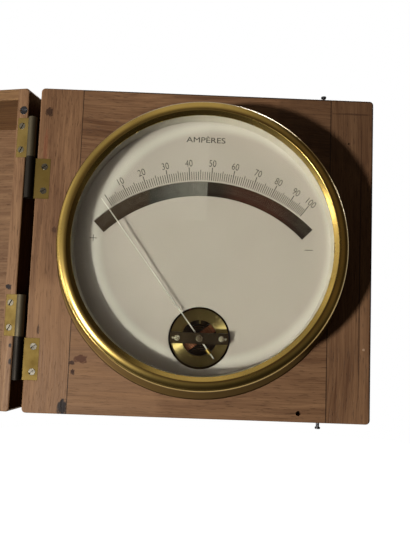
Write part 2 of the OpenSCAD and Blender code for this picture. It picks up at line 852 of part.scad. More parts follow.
// Sector of a ring about the pivot, between two radii and within a half angle of upright
module pivot_sector(inner_r, outer_r, half_angle, z0, z1) {
  far = 2 * outer_r * [sin(half_angle), cos(half_angle)];
  translate(pivot) intersection() {
    ring(outer_r, inner_r, z0, z1);
    translate([0, 0, z0 - over]) linear_extrude(z1 - z0 + 2 * over)
      polygon([[0, 0], far, [-far[0], far[1]]]);
  }
}

module dial_plate() {
  color("#d9d2bd") from_front() difference() {
    translate([0, 0, dial_back_z]) cylinder(r = dial_r, h = dial_t);
    translate([pivot[0], pivot[1], dial_back_z - over]) cylinder(r = dial_hole_r, h = dial_t + 2 * over);
    pivot_sector(mirror_in_r, mirror_out_r, mirror_half, dial_back_z - over, dial_z + over);
  }
}

module mirror_strip() {
  lap_angle = mirror_lap / mirror_out_r * 180 / PI;
  color("#6f675c") from_front()
    pivot_sector(mirror_in_r - mirror_lap, mirror_out_r + mirror_lap, mirror_half + lap_angle,
                 dial_back_z - mirror_t, dial_back_z);
}

// Small post that holds the outer end of a hairspring
module spring_post(z0, z1) {
  translate([pivot[0], pivot[1] + spring_post_y, z0]) cylinder(r = spring_post_r, h = z1 - z0);
  slab([-spring_post_r / 2, pivot[1] + spring_out_r + spring_band_t / 2, z1 - spring_band_h],
       [spring_post_r / 2, pivot[1] + spring_post_y, z1]);
}

module movement_plate() {
  color(brass) from_front() {
    difference() {
      slab([-plate_half_w, pivot[1] - plate_down, floor_t],
           [plate_half_w, pivot[1] + plate_up, plate_top_z]);
      at_plate_screws() screw_hole(plate_screw_head, plate_screw_l);
      translate([pivot[0], pivot[1], 0]) cylinder(d = jewel_body_d + 2 * fit_gap, h = plate_top_z + over);
    }
    spring_post(plate_top_z, spring_lower_z + spring_band_h);
  }
}

module plate_screws() {
  color(steel) from_front() at_plate_screws() rotate(15) screw(plate_screw_head, plate_screw_l);
}

// Horseshoe magnet with straight legs and a half-round bow
module magnet() {
  outer = magnet_in + magnet_w;
  bow_y = pivot[1] + magnet_up;
  top = plate_top_z + magnet_h;
  color("#5b5e63") from_front() {
    for (sx = [-1, 1])
      slab([sx > 0 ? magnet_in : -outer, pivot[1] - magnet_down, plate_top_z],
           [sx > 0 ? outer : -magnet_in, bow_y, top]);
    intersection() {
      translate([0, bow_y, 0]) ring(outer, magnet_in, plate_top_z, top);
      slab([-outer, bow_y, plate_top_z], [outer, bow_y + outer, top]);
    }
  }
}

// Iron pole between a leg and the core, hollowed for the coil
module pole(sx) {
  color(steel) from_front() difference() {
    slab([sx > 0 ? pole_gap / 2 : -magnet_in, pivot[1] - pole_half, pole_low_z],
         [sx > 0 ? magnet_in : -pole_gap / 2, pivot[1] + pole_half, pole_low_z + pole_h]);
    translate([pivot[0], pivot[1], pole_low_z - over]) cylinder(r = pole_bore_r, h = pole_h + 2 * over);
  }
}

module pole_left() { pole(-1); }

module pole_right() { pole(1); }

module core() {
  color(steel) from_front() translate([pivot[0], pivot[1], core_low_z]) cylinder(r = core_r, h = core_l);
}

// Bracket from the plate that reaches between the poles and holds the core
module core_bracket() {
  arm_t = 4;
  arm_z = core_low_z + core_l / 2;
  post_y = pivot[1] + pole_half + 1.5;
  post_t = 4;
  color(brass) from_front() difference() {
    union() {
      slab([-bracket_w / 2, pivot[1], arm_z - arm_t / 2],
           [bracket_w / 2, post_y + post_t, arm_z + arm_t / 2]);
      slab([-bracket_w / 2, post_y, plate_top_z], [bracket_w / 2, post_y + post_t, arm_z + arm_t / 2]);
    }
    translate([pivot[0], pivot[1], core_low_z - over]) cylinder(r = core_r, h = core_l + 2 * over);
  }
}

module ring_pillars() {
  color(brass) from_front() at_pillars()
    translate([0, 0, pole_low_z + pole_h]) cylinder(d = pillar_d, h = ring_z - pole_low_z - pole_h);
}

module movement_ring() {
  color(brass) from_front() {
    difference() {
      translate(pivot) ring(ring_r, ring_in_r, ring_z, ring_top_z);
      bridge_holes(ring_z - over, ring_top_z + over);
    }
    spring_post(ring_top_z, spring_upper_z + spring_band_h);
  }
}

module at_bridge_screws() {
  for (sx = [-1, 1]) translate([pivot[0] + sx * bridge_screw_x, pivot[1], 0]) children();
}

module at_bridge_pins() {
  for (sx = [-1, 1]) translate([pivot[0] + sx * bridge_pin_x, pivot[1], 0]) children();
}

// Holes for the screws and steady pins of the bridge
module bridge_holes(z0, z1) {
  at_bridge_screws() translate([0, 0, z0]) cylinder(d = bridge_screw_d + 2 * fit_gap, h = z1 - z0);
  at_bridge_pins() translate([0, 0, z0]) cylinder(d = bridge_pin_d + 2 * fit_gap, h = z1 - z0);
}

// Bridge over the needle: a bar on two feet that stand on the ring
module upper_bridge() {
  color(brass) from_front() difference() {
    translate([pivot[0], pivot[1] + bridge_w / 2, 0]) rotate([90, 0, 0]) linear_extrude(bridge_w)
      polygon([
        [-bridge_half, ring_top_z], [-foot_in, ring_top_z], [-foot_in, bridge_z], [foot_in, bridge_z],
        [foot_in, ring_top_z], [bridge_half, ring_top_z],
        [bridge_half, bridge_top_z], [-bridge_half, bridge_top_z]
      ]);
    translate([pivot[0], pivot[1], bridge_z - over])
      cylinder(d = jewel_body_d + 2 * fit_gap, h = bridge_t + 2 * over);
    bridge_holes(ring_top_z - over, bridge_top_z + over);
  }
}

// Cheese-head screws and flush steady pins of the bridge
module bridge_screws() {
  slot_w = 0.5;
  pin_proud = 0.3;
  color(steel) from_front() {
    at_bridge_screws() difference() {
      union() {
        translate([0, 0, ring_z]) cylinder(d = bridge_screw_d, h = bridge_top_z - ring_z);
        translate([0, 0, bridge_top_z]) cylinder(d = bridge_screw_head_d, h = bridge_screw_head_h);
      }
      translate([-bridge_screw_head_d, -slot_w / 2, bridge_top_z + bridge_screw_head_h / 2])
        cube([2 * bridge_screw_head_d, slot_w, bridge_screw_head_h]);
    }
    at_bridge_pins() translate([0, 0, ring_z])
      cylinder(d = bridge_pin_d, h = bridge_top_z - ring_z + pin_proud);
  }
}

module upper_jewel() {
  color(brass) from_front() translate(pivot) difference() {
    union() {
      translate([0, 0, bridge_z]) cylinder(d = jewel_body_d, h = bridge_t);
      translate([0, 0, bridge_top_z]) cylinder(d = jewel_d, h = jewel_head_h);
    }
    translate([0, 0, bridge_z - over]) cylinder(d = spindle_d + 2 * fit_gap, h = jewel_cup + over);
    translate([-jewel_d, -jewel_slot / 2, bridge_top_z + jewel_head_h / 2])
      cube([2 * jewel_d, jewel_slot, jewel_head_h]);
  }
}

module lower_jewel() {
  color(brass) from_front() translate(pivot) difference() {
    translate([0, 0, floor_t]) cylinder(d = jewel_body_d, h = plate_t + jewel_cup);
    translate([0, 0, plate_top_z]) cylinder(d = spindle_d + 2 * fit_gap, h = jewel_cup + over);
  }
}

// Point of a spiral band, on its inner or outer edge
function spiral_point(turn, side) =
  let (r = spring_in_r + spring_pitch * turn + side * spring_band_t / 2)
  [r * cos(360 * turn), r * sin(360 * turn)];

spiral_turns = [for (i = [0 : spring_turns * spring_steps]) i / spring_steps];
spring_self_gap = spring_pitch - spring_band_t;
echo(least_gap_between_hairspring_turns = spring_self_gap);

module hairspring() {
  inner_edge = [for (turn = spiral_turns) spiral_point(turn, -1)];
  outer_edge = [for (i = [len(spiral_turns) - 1 : -1 : 0]) spiral_point(spiral_turns[i], 1)];
  linear_extrude(spring_band_h) polygon(concat(inner_edge, outer_edge));
}

module hairsprings() {
  color("#b87348") from_front() for (z = [spring_lower_z, spring_upper_z])
    translate([pivot[0], pivot[1], z]) rotate(90) hairspring();
}

// Everything that swings with the needle is drawn upright and turned to the needle's rest angle
module needle_turned() {
  translate(pivot) rotate(-needle_rest) children();
}

// Upper and lower half spindles, each with the collet that holds it to the coil
module spindle() {
  tip_gap = 0.1;
  color(steel) from_front() needle_turned() {
    translate([0, 0, coil_top_z]) cylinder(d = spindle_d, h = bridge_z + jewel_cup - tip_gap - coil_top_z);
    ring(collet_d / 2, spindle_d / 2 - fit_gap, coil_top_z, coil_top_z + collet_h);
    translate([0, 0, plate_top_z + tip_gap]) cylinder(d = spindle_d, h = coil_low_z - plate_top_z - tip_gap);
    ring(collet_d / 2, spindle_d / 2 - fit_gap, coil_low_z - collet_h, coil_low_z);
  }
}

// Upright rectangular frame about the core, seen edge on from the front
module coil_frame(half_out, half_in, width, z0, z1, wall) {
  difference() {
    slab([-half_out, -width / 2, z0], [half_out, width / 2, z1]);
    slab([-half_in, -width, z0 + wall], [half_in, width, z1 - wall]);
  }
}

module coil_former() {
  color("#c9ccd0") from_front() needle_turned()
    coil_frame(former_half + former_t, former_half, former_w, former_low_z, former_top_z, former_t);
}

module moving_coil() {
  color("#b5652b") from_front() needle_turned()
    coil_frame(coil_half, former_half + former_t, winding_w, coil_low_z, coil_top_z, winding_t);
}

// Tapered pointer with an eye for the spindle and a plain tail
module needle() {
  color("#c4c6c8") from_front() needle_turned() difference() {
    union() {
      intersection() {
        translate([0, 0, needle_z]) linear_extrude(needle_t + needle_rise) polygon([
          [-needle_w / 2, -tail_l], [needle_w / 2, -tail_l], [needle_w / 2, hub_d],
          [needle_tip_w / 2, needle_l], [-needle_tip_w / 2, needle_l], [-needle_w / 2, hub_d]
        ]);
        translate([-needle_w, 0, needle_z]) rotate([90, 0, 90]) linear_extrude(2 * needle_w) polygon([
          [-tail_l - over, 0], [hub_d, 0], [needle_l + over, needle_rise],
          [needle_l + over, needle_rise + needle_t], [hub_d, needle_t], [-tail_l - over, needle_t]
        ]);
      }
      translate([0, 0, needle_z]) cylinder(d = eye_d, h = needle_t);
    }
    translate([0, 0, needle_z - over]) cylinder(d = spindle_d, h = needle_t + 2 * over);
  }
}

module needle_hub() {
  color(brass) from_front() needle_turned() ring(hub_d / 2, spindle_d / 2, needle_z - hub_h, needle_z);
}

// Round weight with a flat bore, pushed on the tail
module counterweight() {
  color(brass) from_front() needle_turned() difference() {
    translate([0, -weight_r, needle_z + needle_t / 2]) rod_y(weight_d / 2, -weight_l / 2, weight_l / 2);
    slab([-needle_w / 2, -weight_r - weight_l, needle_z],
         [needle_w / 2, weight_l - weight_r, needle_z + needle_t]);
  }
}

module terminal_studs() {
  head_z = floor_t + bush_flange_t;
  relief_z = nut_z - relief_w;
  color(brass) from_front() at_studs() {
    translate([0, 0, head_z]) cylinder(d = stud_head_d - 2 * bush_rim, h = stud_head_h);
    translate([0, 0, nut_z]) cylinder(d = stud_d, h = head_z - nut_z);
    translate([0, 0, relief_z]) cylinder(d = contact_pin_d - 2 * relief_in, h = relief_w);
    translate([0, 0, relief_z - contact_pin_l]) cylinder(d = contact_pin_d, h = contact_pin_l);
  }
}

module terminal_bushes() {
  color("#2b2622") from_front() at_studs() {
    ring(bush_d / 2, stud_hole_d / 2, -panel_t, floor_t);
    ring(stud_head_d / 2, stud_hole_d / 2, floor_t, floor_t + bush_flange_t);
  }
}

module terminal_washers() {
  color(brass) from_front() at_studs() ring(washer_d / 2, stud_hole_d / 2, -panel_t - washer_t, -panel_t);
}

module terminal_nuts() {
  color(brass) from_front() at_studs() difference() {
    translate([0, 0, nut_z]) cylinder(d = nut_af / cos(30), h = nut_t, $fn = 6);
    translate([0, 0, nut_z - over]) cylinder(d = stud_hole_d, h = nut_t + 2 * over);
  }
}

// Wire of straight runs with round elbows
module wire(path) {
  for (i = [0 : len(path) - 2]) {
    run = path[i + 1] - path[i];
    translate(path[i]) rotate([0, acos(run[2] / norm(run)), atan2(run[1], run[0])])
      cylinder(d = lead_d, h = norm(run));
    if (i > 0) translate(path[i]) sphere(d = lead_d + 2 * fit_gap);
  }
}

module leads() {
  color("#8a3b2a") from_front() {
    wire(lead_left_path);
    wire(lead_right_path);
  }
}

front_board();
cleat_left();
cleat_right();
case_top();
case_bottom();
case_left();
case_right();
back_board();
back_screws();
latch_pins();
hinge_case_leaves();
hinge_case_screws();
hinge_pins();
hinge_rings();
hinge_lid_leaves();
hinge_lid_screws();
lid_top();
lid_bottom();
lid_hinge_side();
lid_far_side();
lid_board();
lid_rim_screw();
hook_top();
hook_bottom();
hook_screws();
drum_body();
drum_screws();
bezel();
glass();
glass_seal();
spacer_ring();
dial_seat();
dial_plate();
mirror_strip();
movement_plate();
plate_screws();
lower_jewel();
magnet();
pole_left();
pole_right();
core();
core_bracket();
ring_pillars();
movement_ring();
upper_bridge();
bridge_screws();
upper_jewel();
hairsprings();
spindle();
coil_former();
moving_coil();
needle();
needle_hub();
counterweight();
terminal_studs();
terminal_bushes();
terminal_washers();
terminal_nuts();
leads();
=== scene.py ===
"""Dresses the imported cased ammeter: boards, brass, dial print, movement, pane and the studio round them."""
import json
import math
from functools import partial

import bpy
from mathutils import Matrix, Vector

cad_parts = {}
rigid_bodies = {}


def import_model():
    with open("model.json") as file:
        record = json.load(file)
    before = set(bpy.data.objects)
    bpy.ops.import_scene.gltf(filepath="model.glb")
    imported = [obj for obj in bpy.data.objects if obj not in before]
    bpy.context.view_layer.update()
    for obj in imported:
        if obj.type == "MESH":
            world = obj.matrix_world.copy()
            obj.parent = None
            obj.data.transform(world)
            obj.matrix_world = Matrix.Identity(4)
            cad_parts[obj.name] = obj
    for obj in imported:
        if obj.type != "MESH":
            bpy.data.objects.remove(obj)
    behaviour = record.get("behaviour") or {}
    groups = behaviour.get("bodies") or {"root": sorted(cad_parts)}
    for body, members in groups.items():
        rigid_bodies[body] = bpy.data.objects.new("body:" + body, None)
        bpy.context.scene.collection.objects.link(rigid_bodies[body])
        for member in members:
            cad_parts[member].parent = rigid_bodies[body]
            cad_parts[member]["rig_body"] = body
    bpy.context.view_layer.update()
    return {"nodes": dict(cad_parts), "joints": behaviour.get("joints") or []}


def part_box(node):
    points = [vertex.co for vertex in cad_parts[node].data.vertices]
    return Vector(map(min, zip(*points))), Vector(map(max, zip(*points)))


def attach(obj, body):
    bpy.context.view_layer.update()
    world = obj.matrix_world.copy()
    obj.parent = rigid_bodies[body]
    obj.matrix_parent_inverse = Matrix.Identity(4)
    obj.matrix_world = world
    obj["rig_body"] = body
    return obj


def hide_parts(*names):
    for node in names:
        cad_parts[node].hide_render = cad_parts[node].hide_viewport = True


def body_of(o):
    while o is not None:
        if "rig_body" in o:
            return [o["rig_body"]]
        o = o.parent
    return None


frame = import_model()

bl_info = {
    "name": "Cased ammeter",
    "version": (1, 0, 0),
    "blender": (4, 5, 0),
    "location": "View3D > Sidebar > Ammeter",
    "description": "Builds the looks of a drum ammeter in a wooden case round its packed solids",
    "category": "Object",
}

MM = 0.001
JOINTS = {joint["name"]: joint for joint in frame["joints"]}
PIVOT = Vector(JOINTS["needle_swing"]["pos_m"])
LID_TURN = math.radians(JOINTS["lid_swing"]["range_deg"][1] - 180)
PANEL_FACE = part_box("front_board")[0].y
PANEL_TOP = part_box("front_board")[1].z
DIAL_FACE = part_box("dial_plate")[0].y
CASE_NODES = ("front_board", "cleat_left", "cleat_right", "case_top", "case_bottom", "case_left",
              "case_right", "back_board")
LID_NODES = ("lid_hinge_side", "lid_far_side", "lid_top", "lid_bottom", "lid_board")
# Turns that lay a board's grain across, upright or across the open lid
ALONG_X = (0, 0, 0)
ALONG_Z = (0, -math.pi / 2, 0)
ALONG_LID = (0, 0, -LID_TURN)
# Points closer than this are one: on a copied solid, on a trimmed board, on a spun ring
COPY_WELD = 1e-6
TRIM_WELD = 2e-7
SPIN_WELD = 2e-6
# Faces that lie closer than this to level count as one face
LEVEL = math.radians(0.4)
# Edges sharper than this are eased
SHARP = math.radians(40)
# Rounding of the edges of single parts
DIAL_EDGE = 0.06 * MM
SPINDLE_EDGE = 0.05 * MM
IRON_EDGE = 0.12 * MM
RING_EDGE = 0.15 * MM
TERMINAL_EDGE = 0.2 * MM
COIL_EDGE = 0.25 * MM
MAGNET_EDGE = 0.3 * MM
SCREW_EDGE = 0.35 * MM
# The needle's blade is drawn deeper from this distance off the pivot, by this much
BLADE_START = 16 * MM
BLADE_DEPTH = 0.45 * MM
# The From sockets of a map range, set to where most of a noise's values lie
MIDDLE = {1: 0.3, 2: 0.7}
# Settings of a mix of colours, and of a map range with soft ends
COLOUR = {"data_type": "RGBA"}
SOFT = {"interpolation_type": "SMOOTHSTEP"}
# Scale of an axis that a distance leaves out
LEFT_OUT = 1000


def linear(text):
    """An sRGB hex colour as linear red, green and blue."""
    parts = [int(text[i:i + 2], 16) / 255 for i in (1, 3, 5)]
    return tuple(p / 12.92 if p <= 0.04045 else ((p + 0.055) / 1.055) ** 2.4 for p in parts)


def opaque(colour):
    """A colour with full alpha, from hex text or from linear red, green and blue."""
    return (*(linear(colour) if isinstance(colour, str) else colour), 1.0)


def length(name, default, description):
    return bpy.props.FloatProperty(
        name=name, default=default, description=description, unit="LENGTH", precision=5)


def tint(name, text, description):
    return bpy.props.FloatVectorProperty(
        name=name, default=linear(text), description=description, subtype="COLOR", size=3, min=0, max=1)


class AmmeterSizes(bpy.types.PropertyGroup):
    """Sizes that the solids leave open"""
    arris: length("Arris", 0.9 * MM, "Rounding of the outer edges of the case and lid")
    corner: length("Corner", 2.5 * MM, "Radius of the corners of the case and lid, seen from the front")
    plate_edge: length("Plate edge", 0.18 * MM, "Rounding of the edges of brass plates")
    fine_edge: length("Fine edge", 0.1 * MM, "Rounding of the edges of small metal parts")
    ring_steps: bpy.props.IntProperty(
        name="Ring steps", default=240, min=48, max=360, description="Steps round the spun rings")
    tick_foot: length("Tick foot", 87.0 * MM, "Radius at which the scale's marks start")
    tick_one: length("Unit tick", 91.7 * MM, "Radius at which a unit mark ends")
    tick_five: length("Five tick", 92.8 * MM, "Radius at which a mark of five ends")
    tick_ten: length("Ten tick", 94.3 * MM, "Radius at which a mark of ten ends")
    tick_width: length("Tick width", 0.34 * MM, "Width of a mark")
    ink: length("Ink", 0.03 * MM, "Thickness of the print on the dial")
    figure_radius: length("Figure radius", 96.6 * MM, "Radius of the middle of the figures")
    figure_height: length("Figure height", 3.7 * MM, "Height of the figures")
    word_height: length("Word height", 3.2 * MM, "Height of the unit word")
    word_width: length("Word width", 21.7 * MM, "Width of the unit word")


class AmmeterColours(bpy.types.PropertyGroup):
    """Colours of the ammeter's finishes"""
    walnut_light: tint("Light walnut", "#8f6c4e", "Early wood of the walnut boards")
    walnut_dark: tint("Dark walnut", "#5a3d2a", "Late wood and pores of the walnut boards")
    lid_light: tint("Light lid wood", "#a3805f", "Early wood of the lid")
    lid_dark: tint("Dark lid wood", "#6b4a33", "Late wood of the lid")
    rail_light: tint("Light lid rails", "#a07c56", "Early wood of the lid's rails")
    rail_dark: tint("Dark lid rails", "#6b4c33", "Late wood of the lid's rails")
    brass: tint("Brass", "#b39a58", "Turned and polished brass")
    brass_dull: tint("Dull brass", "#5f4c24", "Tarnish on the brass")
    steel: tint("Steel", "#b9b4a6", "Bright steel")
    iron: tint("Iron", "#3a3b3f", "Blued and oiled iron")
    dial: tint("Dial", "#a59b95", "Silvered dial")
    ring: tint("Pale ring", "#b7afa3", "Painted ring round the dial")
    ink: tint("Ink", "#1f1b16", "Print on the dial")
    copper: tint("Copper", "#a8694a", "Enamelled copper wire")


def sizes():
    return bpy.context.scene.ammeter_sizes


def colours():
    return bpy.context.scene.ammeter_colours


# Shader building
# Some sockets go by number. A mix has its share in 0, and its ends in 2 and 3, or in 6 and 7 for colours.
# A map range has its value in 0, From in 1 and 2, and To in 3 and 4.

def add(tree, kind, links=None, **settings):
    """Adds a node with its settings. Links give sockets a value, an output or a node's live output."""
    made = tree.nodes.new("ShaderNode" + kind)
    for name, value in settings.items():
        setattr(made, name, value)
    for socket, value in (links or {}).items():
        if isinstance(value, bpy.types.Node):
            value = next(output for output in value.outputs if output.enabled)
        if isinstance(value, bpy.types.NodeSocket):
            tree.links.new(value, made.inputs[socket])
        else:
            made.inputs[socket].default_value = value
    return made


def new_material(name):
    """An empty material, add bound to its nodes, and the place in metres that its patterns start from."""
    made = bpy.data.materials.new(name)
    made.use_nodes = True
    made.node_tree.nodes.clear()
    put = partial(add, made.node_tree)
    return made, put, put("TexCoord").outputs["Object"]


def lay_surface(put, height, relief, sockets):
    """Ends a material with a surface of these sockets. Relief is its pattern's depth in metres."""
    bump = put("Bump", {"Height": height, "Distance": relief, "Strength": 1.0})
    shader = put("BsdfPrincipled", {**sockets, "Normal": bump})
    put("OutputMaterial", {"Surface": shader})


def walnut(name, tones, along, seed, stains_and_painted_light=(), shade=1.0, shine=0.2):
    """Walnut, planed by hand, oiled and aged: streaks along the grain, short dark pores, low uneven gloss."""
    light, dark = tones
    made, put, place = new_material(name)
    grain = put("Mapping", {"Vector": place, "Location": seed, "Rotation": along}, vector_type="TEXTURE")
    # The grain wanders a few millimetres over a hand's width
    bend = put("TexNoise", {"Vector": grain, "Scale": 1 / 0.09, "Detail": 1.0})
    sway = put("VectorMath", {0: bend.outputs["Color"], 1: (0.5, 0.5, 0.5)}, operation="SUBTRACT")
    swayed = put("VectorMath", {0: sway, 1: (0, 0.01, 0.01), 2: grain}, operation="MULTIPLY_ADD")
    # Patches 70 by 12 mm, year rings 3.4 mm apart, fibres 0.9 mm and pores 0.5 mm wide, drawn coarse to show
    spans = {"patch": (0.07, 0.012), "rings": (0.16, 0.0034),
             "fibres": (0.03, 0.0009), "pores": (0.007, 0.0005)}
    layer = {}
    for part, (far, wide) in spans.items():
        spread = put("VectorMath", {0: swayed, 1: (1 / far, 1 / wide, 1 / wide)}, operation="MULTIPLY")
        layer[part] = put("TexNoise", {"Vector": spread, "Scale": 1.0, "Detail": 2.0, "Roughness": 0.55})
    streak = put("Mix", {0: 0.55, 2: layer["patch"], 3: layer["rings"]}, data_type="FLOAT")
    figure = put("Mix", {0: 0.38, 2: streak, 3: layer["fibres"]}, data_type="FLOAT")
    tone = put("MapRange", {0: figure, 1: 0.34, 2: 0.66})
    wood = put("Mix", {0: tone, 6: opaque(dark), 7: opaque(light)}, **COLOUR)
    pore = put("MapRange", {0: layer["pores"], 1: 0.6, 2: 0.7, 3: 0.0, 4: 0.55})
    colour = put("Mix", {0: pore, 6: wood, 7: opaque([c * 0.3 for c in dark])}, **COLOUR)
    # Ink, knots and scars of the old board, painted light on low corners, darker upper corners, and dark
    # arrises that are partly painted shade, where the board's marks list them
    for centre, half, ink, strength in stains_and_painted_light:
        spot = put("Mapping", {"Vector": place, "Location": centre, "Scale": half}, vector_type="TEXTURE")
        ragged = put("TexNoise", {"Vector": spot, "Scale": 1.7, "Detail": 2.0})
        reach = put("VectorMath", {0: spot}, operation="LENGTH")
        edge = put("MapRange", {0: ragged, **MIDDLE, 3: -0.3, 4: 0.3})
        rim = put("Math", {0: reach, 1: edge}, operation="ADD")
        mask = put("MapRange", {0: rim, 1: 1.05, 2: 0.75, 3: 0.0, 4: strength})
        colour = put("Mix", {0: mask, 6: colour, 7: opaque(ink)}, **COLOUR)
    # The board's colour is scaled by its shade, which paints light on the left cleat and shade on the lid's
    # face beside the hinges
    toned = put("Mix", {0: 1.0, 6: colour, 7: opaque((shade, shade, shade))}, **COLOUR,
               blend_type="MULTIPLY")
    gloss = put("MapRange", {0: layer["patch"], **MIDDLE, 3: 0.46, 4: 0.62})
    relief = put("Math", {0: layer["fibres"], 1: pore}, operation="SUBTRACT")
    lay_surface(put, relief, 0.12 * MM, {"Base Color": toned, "Roughness": gloss, "IOR": 1.5,
                                         "Specular IOR Level": shine})
    return made


def brass(name, tarnish=0.35, roughness=(0.16, 0.34), mark=0.004, relief=0.01, spun=0.0, colour=None,
          knuckle_tone=None):
    """Brass, turned or rolled and once lacquered: warm yellow metal, olive and dull where it is handled."""
    made, put, place = new_material(name)
    cloud = put("TexNoise", {"Vector": place, "Scale": 1 / (6 * mark), "Detail": 4.0, "Roughness": 0.6})
    specks = put("TexNoise", {"Vector": place, "Scale": 1 / (0.25 * mark), "Detail": 2.0})
    dull = put("MapRange", {0: cloud, 1: 0.42, 2: 0.72, 3: 0.0, 4: tarnish})
    tone = put("Mix", {0: dull, 6: opaque(colour or colours().brass), 7: opaque(colours().brass_dull)},
               **COLOUR)
    polish = put("MapRange", {0: cloud, **MIDDLE, 3: roughness[0], 4: roughness[1]})
    if knuckle_tone:
        # What lies within reach of an upright axis at (x, y) takes another colour
        x, y, reach, knuckle_colour = knuckle_tone
        beside = put("Mapping", {"Vector": place, "Location": (x, y, 0), "Scale": (1, 1, LEFT_OUT)},
                     vector_type="TEXTURE")
        away = put("VectorMath", {0: beside}, operation="LENGTH")
        darkened = put("MapRange", {0: away, 1: reach, 2: 1.15 * reach, 3: 0.97, 4: 0.0})
        tone = put("Mix", {0: darkened, 6: tone, 7: opaque(knuckle_colour)}, **COLOUR)
    sockets = {"Base Color": tone, "Roughness": polish, "Metallic": 1.0}
    if spun:
        # Cutter marks of the lathe run round the piece's middle, so highlights spread across them
        turned = put("Tangent", direction_type="RADIAL", axis="Y")
        sockets.update({"Anisotropic": spun, "Anisotropic Rotation": 0.25, "Tangent": turned})
    lay_surface(put, specks, relief * MM, sockets)
    return made


def steel(name, colour, roughness=(0.25, 0.45), rust=0.2):
    """Drawn steel, bright or blued: cool grey metal with brown specks of old rust."""
    made, put, place = new_material(name)
    cloud = put("TexNoise", {"Vector": place, "Scale": 1 / 0.003, "Detail": 4.0})
    specks = put("TexNoise", {"Vector": place, "Scale": 1 / 0.0006, "Detail": 2.0})
    rusty = put("MapRange", {0: specks, 1: 0.55, 2: 0.75, 3: 0.0, 4: rust})
    metal = put("Mix", {0: rusty, 6: opaque(colour), 7: opaque("#4a3524")}, **COLOUR)
    polish = put("MapRange", {0: cloud, **MIDDLE, 3: roughness[0], 4: roughness[1]})
    lay_surface(put, specks, 0.01 * MM, {"Base Color": metal, "Roughness": polish, "Metallic": 1.0})
    return made


def paint(name, colour, grain=0.0006, mottle=0.06, roughness=0.55, relief=0.004, tinge=None):
    """Brushed lacquer or dipped coating on metal: even, nearly matt, with faint clouds from age."""
    made, put, place = new_material(name)
    cloud = put("TexNoise", {"Vector": place, "Scale": 1 / 0.03, "Detail": 4.0})
    grit = put("TexNoise", {"Vector": place, "Scale": 1 / grain, "Detail": 2.0})
    age = put("Mix", {0: 0.35, 2: cloud, 3: grit}, data_type="FLOAT")
    share = put("MapRange", {0: age, **MIDDLE})
    low = [c * (1 - 2 * mottle) for c in colour]
    high = [min(1.0, c * (1 + mottle)) for c in colour]
    shaded = put("Mix", {0: share, 6: opaque(low), 7: opaque(high)}, **COLOUR)
    if tinge:
        # A soft ring about (x, z) is painted paler as painted light, or darker as painted shade, after its
        # tone
        x, z, radius, reach, tone, strength = tinge
        ring = put("Mapping", {"Vector": place, "Location": (x, 0, z), "Scale": (1, LEFT_OUT, 1)},
                   vector_type="TEXTURE")
        away = put("VectorMath", {0: ring}, operation="LENGTH")
        off = put("Math", {0: away, 1: radius}, operation="SUBTRACT")
        near = put("Math", {0: off}, operation="ABSOLUTE")
        share = put("MapRange", {0: near, 1: reach, 2: 0.0, 3: 0.0, 4: strength}, **SOFT)
        shaded = put("Mix", {0: share, 6: shaded, 7: opaque(tone)}, **COLOUR)
    gloss = put("MapRange", {0: cloud, 3: roughness - 0.05, 4: roughness + 0.1})
    lay_surface(put, grit, relief * MM, {"Base Color": shaded, "Roughness": gloss, "IOR": 1.48,
                                         "Specular IOR Level": 0.3})
    return made


def wound_wire(name, colour, pitch=0.00025):
    """Enamelled copper wire, wound in close turns 0.25 mm apart: fine ribs with a soft reddish gloss."""
    made, put, place = new_material(name)
    turns = put("TexWave", {"Vector": place, "Scale": 2 * math.pi / (20 * pitch), "Distortion": 0.4},
                wave_type="BANDS", bands_direction="Y").outputs["Fac"]
    cloud = put("TexNoise", {"Vector": place, "Scale": 1 / 0.002, "Detail": 3.0})
    tone = put("Mix", {0: 0.5, 2: turns, 3: cloud}, data_type="FLOAT")
    wire = put("Mix", {0: tone, 6: opaque([c * 0.4 for c in colour]), 7: opaque(colour)}, **COLOUR)
    gloss = put("MapRange", {0: cloud, 3: 0.3, 4: 0.5})
    lay_surface(put, turns, 0.05 * MM, {"Base Color": wire, "Roughness": gloss, "Metallic": 0.6})
    return made


def silvered_glass(name):
    """Mirror glass with an old silver back: sharp reflections, a little grey, foxed towards brown."""
    made, put, place = new_material(name)
    fox = put("TexNoise", {"Vector": place, "Scale": 1 / 0.004, "Detail": 4.0})
    aged = put("MapRange", {0: fox, 1: 0.5, 2: 0.8, 3: 0.0, 4: 0.4})
    silver = put("Mix", {0: aged, 6: opaque("#d6d3cb"), 7: opaque("#8d7a63")}, **COLOUR)
    gloss = put("MapRange", {0: fox, 3: 0.01, 4: 0.03})
    lay_surface(put, fox, 0.00001 * MM, {"Base Color": silver, "Roughness": gloss, "Metallic": 1.0})
    return made


def window_glass(name):
    """Drawn window glass: clear with a faint green edge, slightly wavy. Lamps cast no shadow of it."""
    made, put, place = new_material(name)
    wave = put("TexNoise", {"Vector": place, "Scale": 1 / 0.03, "Detail": 1.0})
    smear = put("TexNoise", {"Vector": place, "Scale": 1 / 0.012, "Detail": 4.0})
    polish = put("MapRange", {0: smear, 1: 0.4, 2: 0.8, 3: 0.0, 4: 0.03})
    ripple = put("Bump", {"Height": wave, "Distance": 0.004 * MM, "Strength": 1.0})
    clear = put("BsdfPrincipled", {"Base Color": opaque("#f7faf6"), "Roughness": polish, "IOR": 1.5,
                                   "Transmission Weight": 1.0, "Normal": ripple})
    through = put("BsdfTransparent", {"Color": opaque("#f4f7f3")})
    ray = put("LightPath").outputs
    mixed = put("MixShader", {0: ray["Is Shadow Ray"], 1: clear, 2: through})
    put("OutputMaterial", {"Surface": mixed})
    return made


# Mesh building

def activate(piece):
    bpy.ops.object.select_all(action="DESELECT")
    piece.select_set(True)
    bpy.context.view_layer.objects.active = piece


def in_edit(piece, mode="VERT"):
    """Opens a piece in edit mode with all of it selected."""
    activate(piece)
    bpy.ops.object.mode_set(mode="EDIT")
    bpy.ops.mesh.select_mode(type=mode)
    bpy.ops.mesh.select_all(action="SELECT")


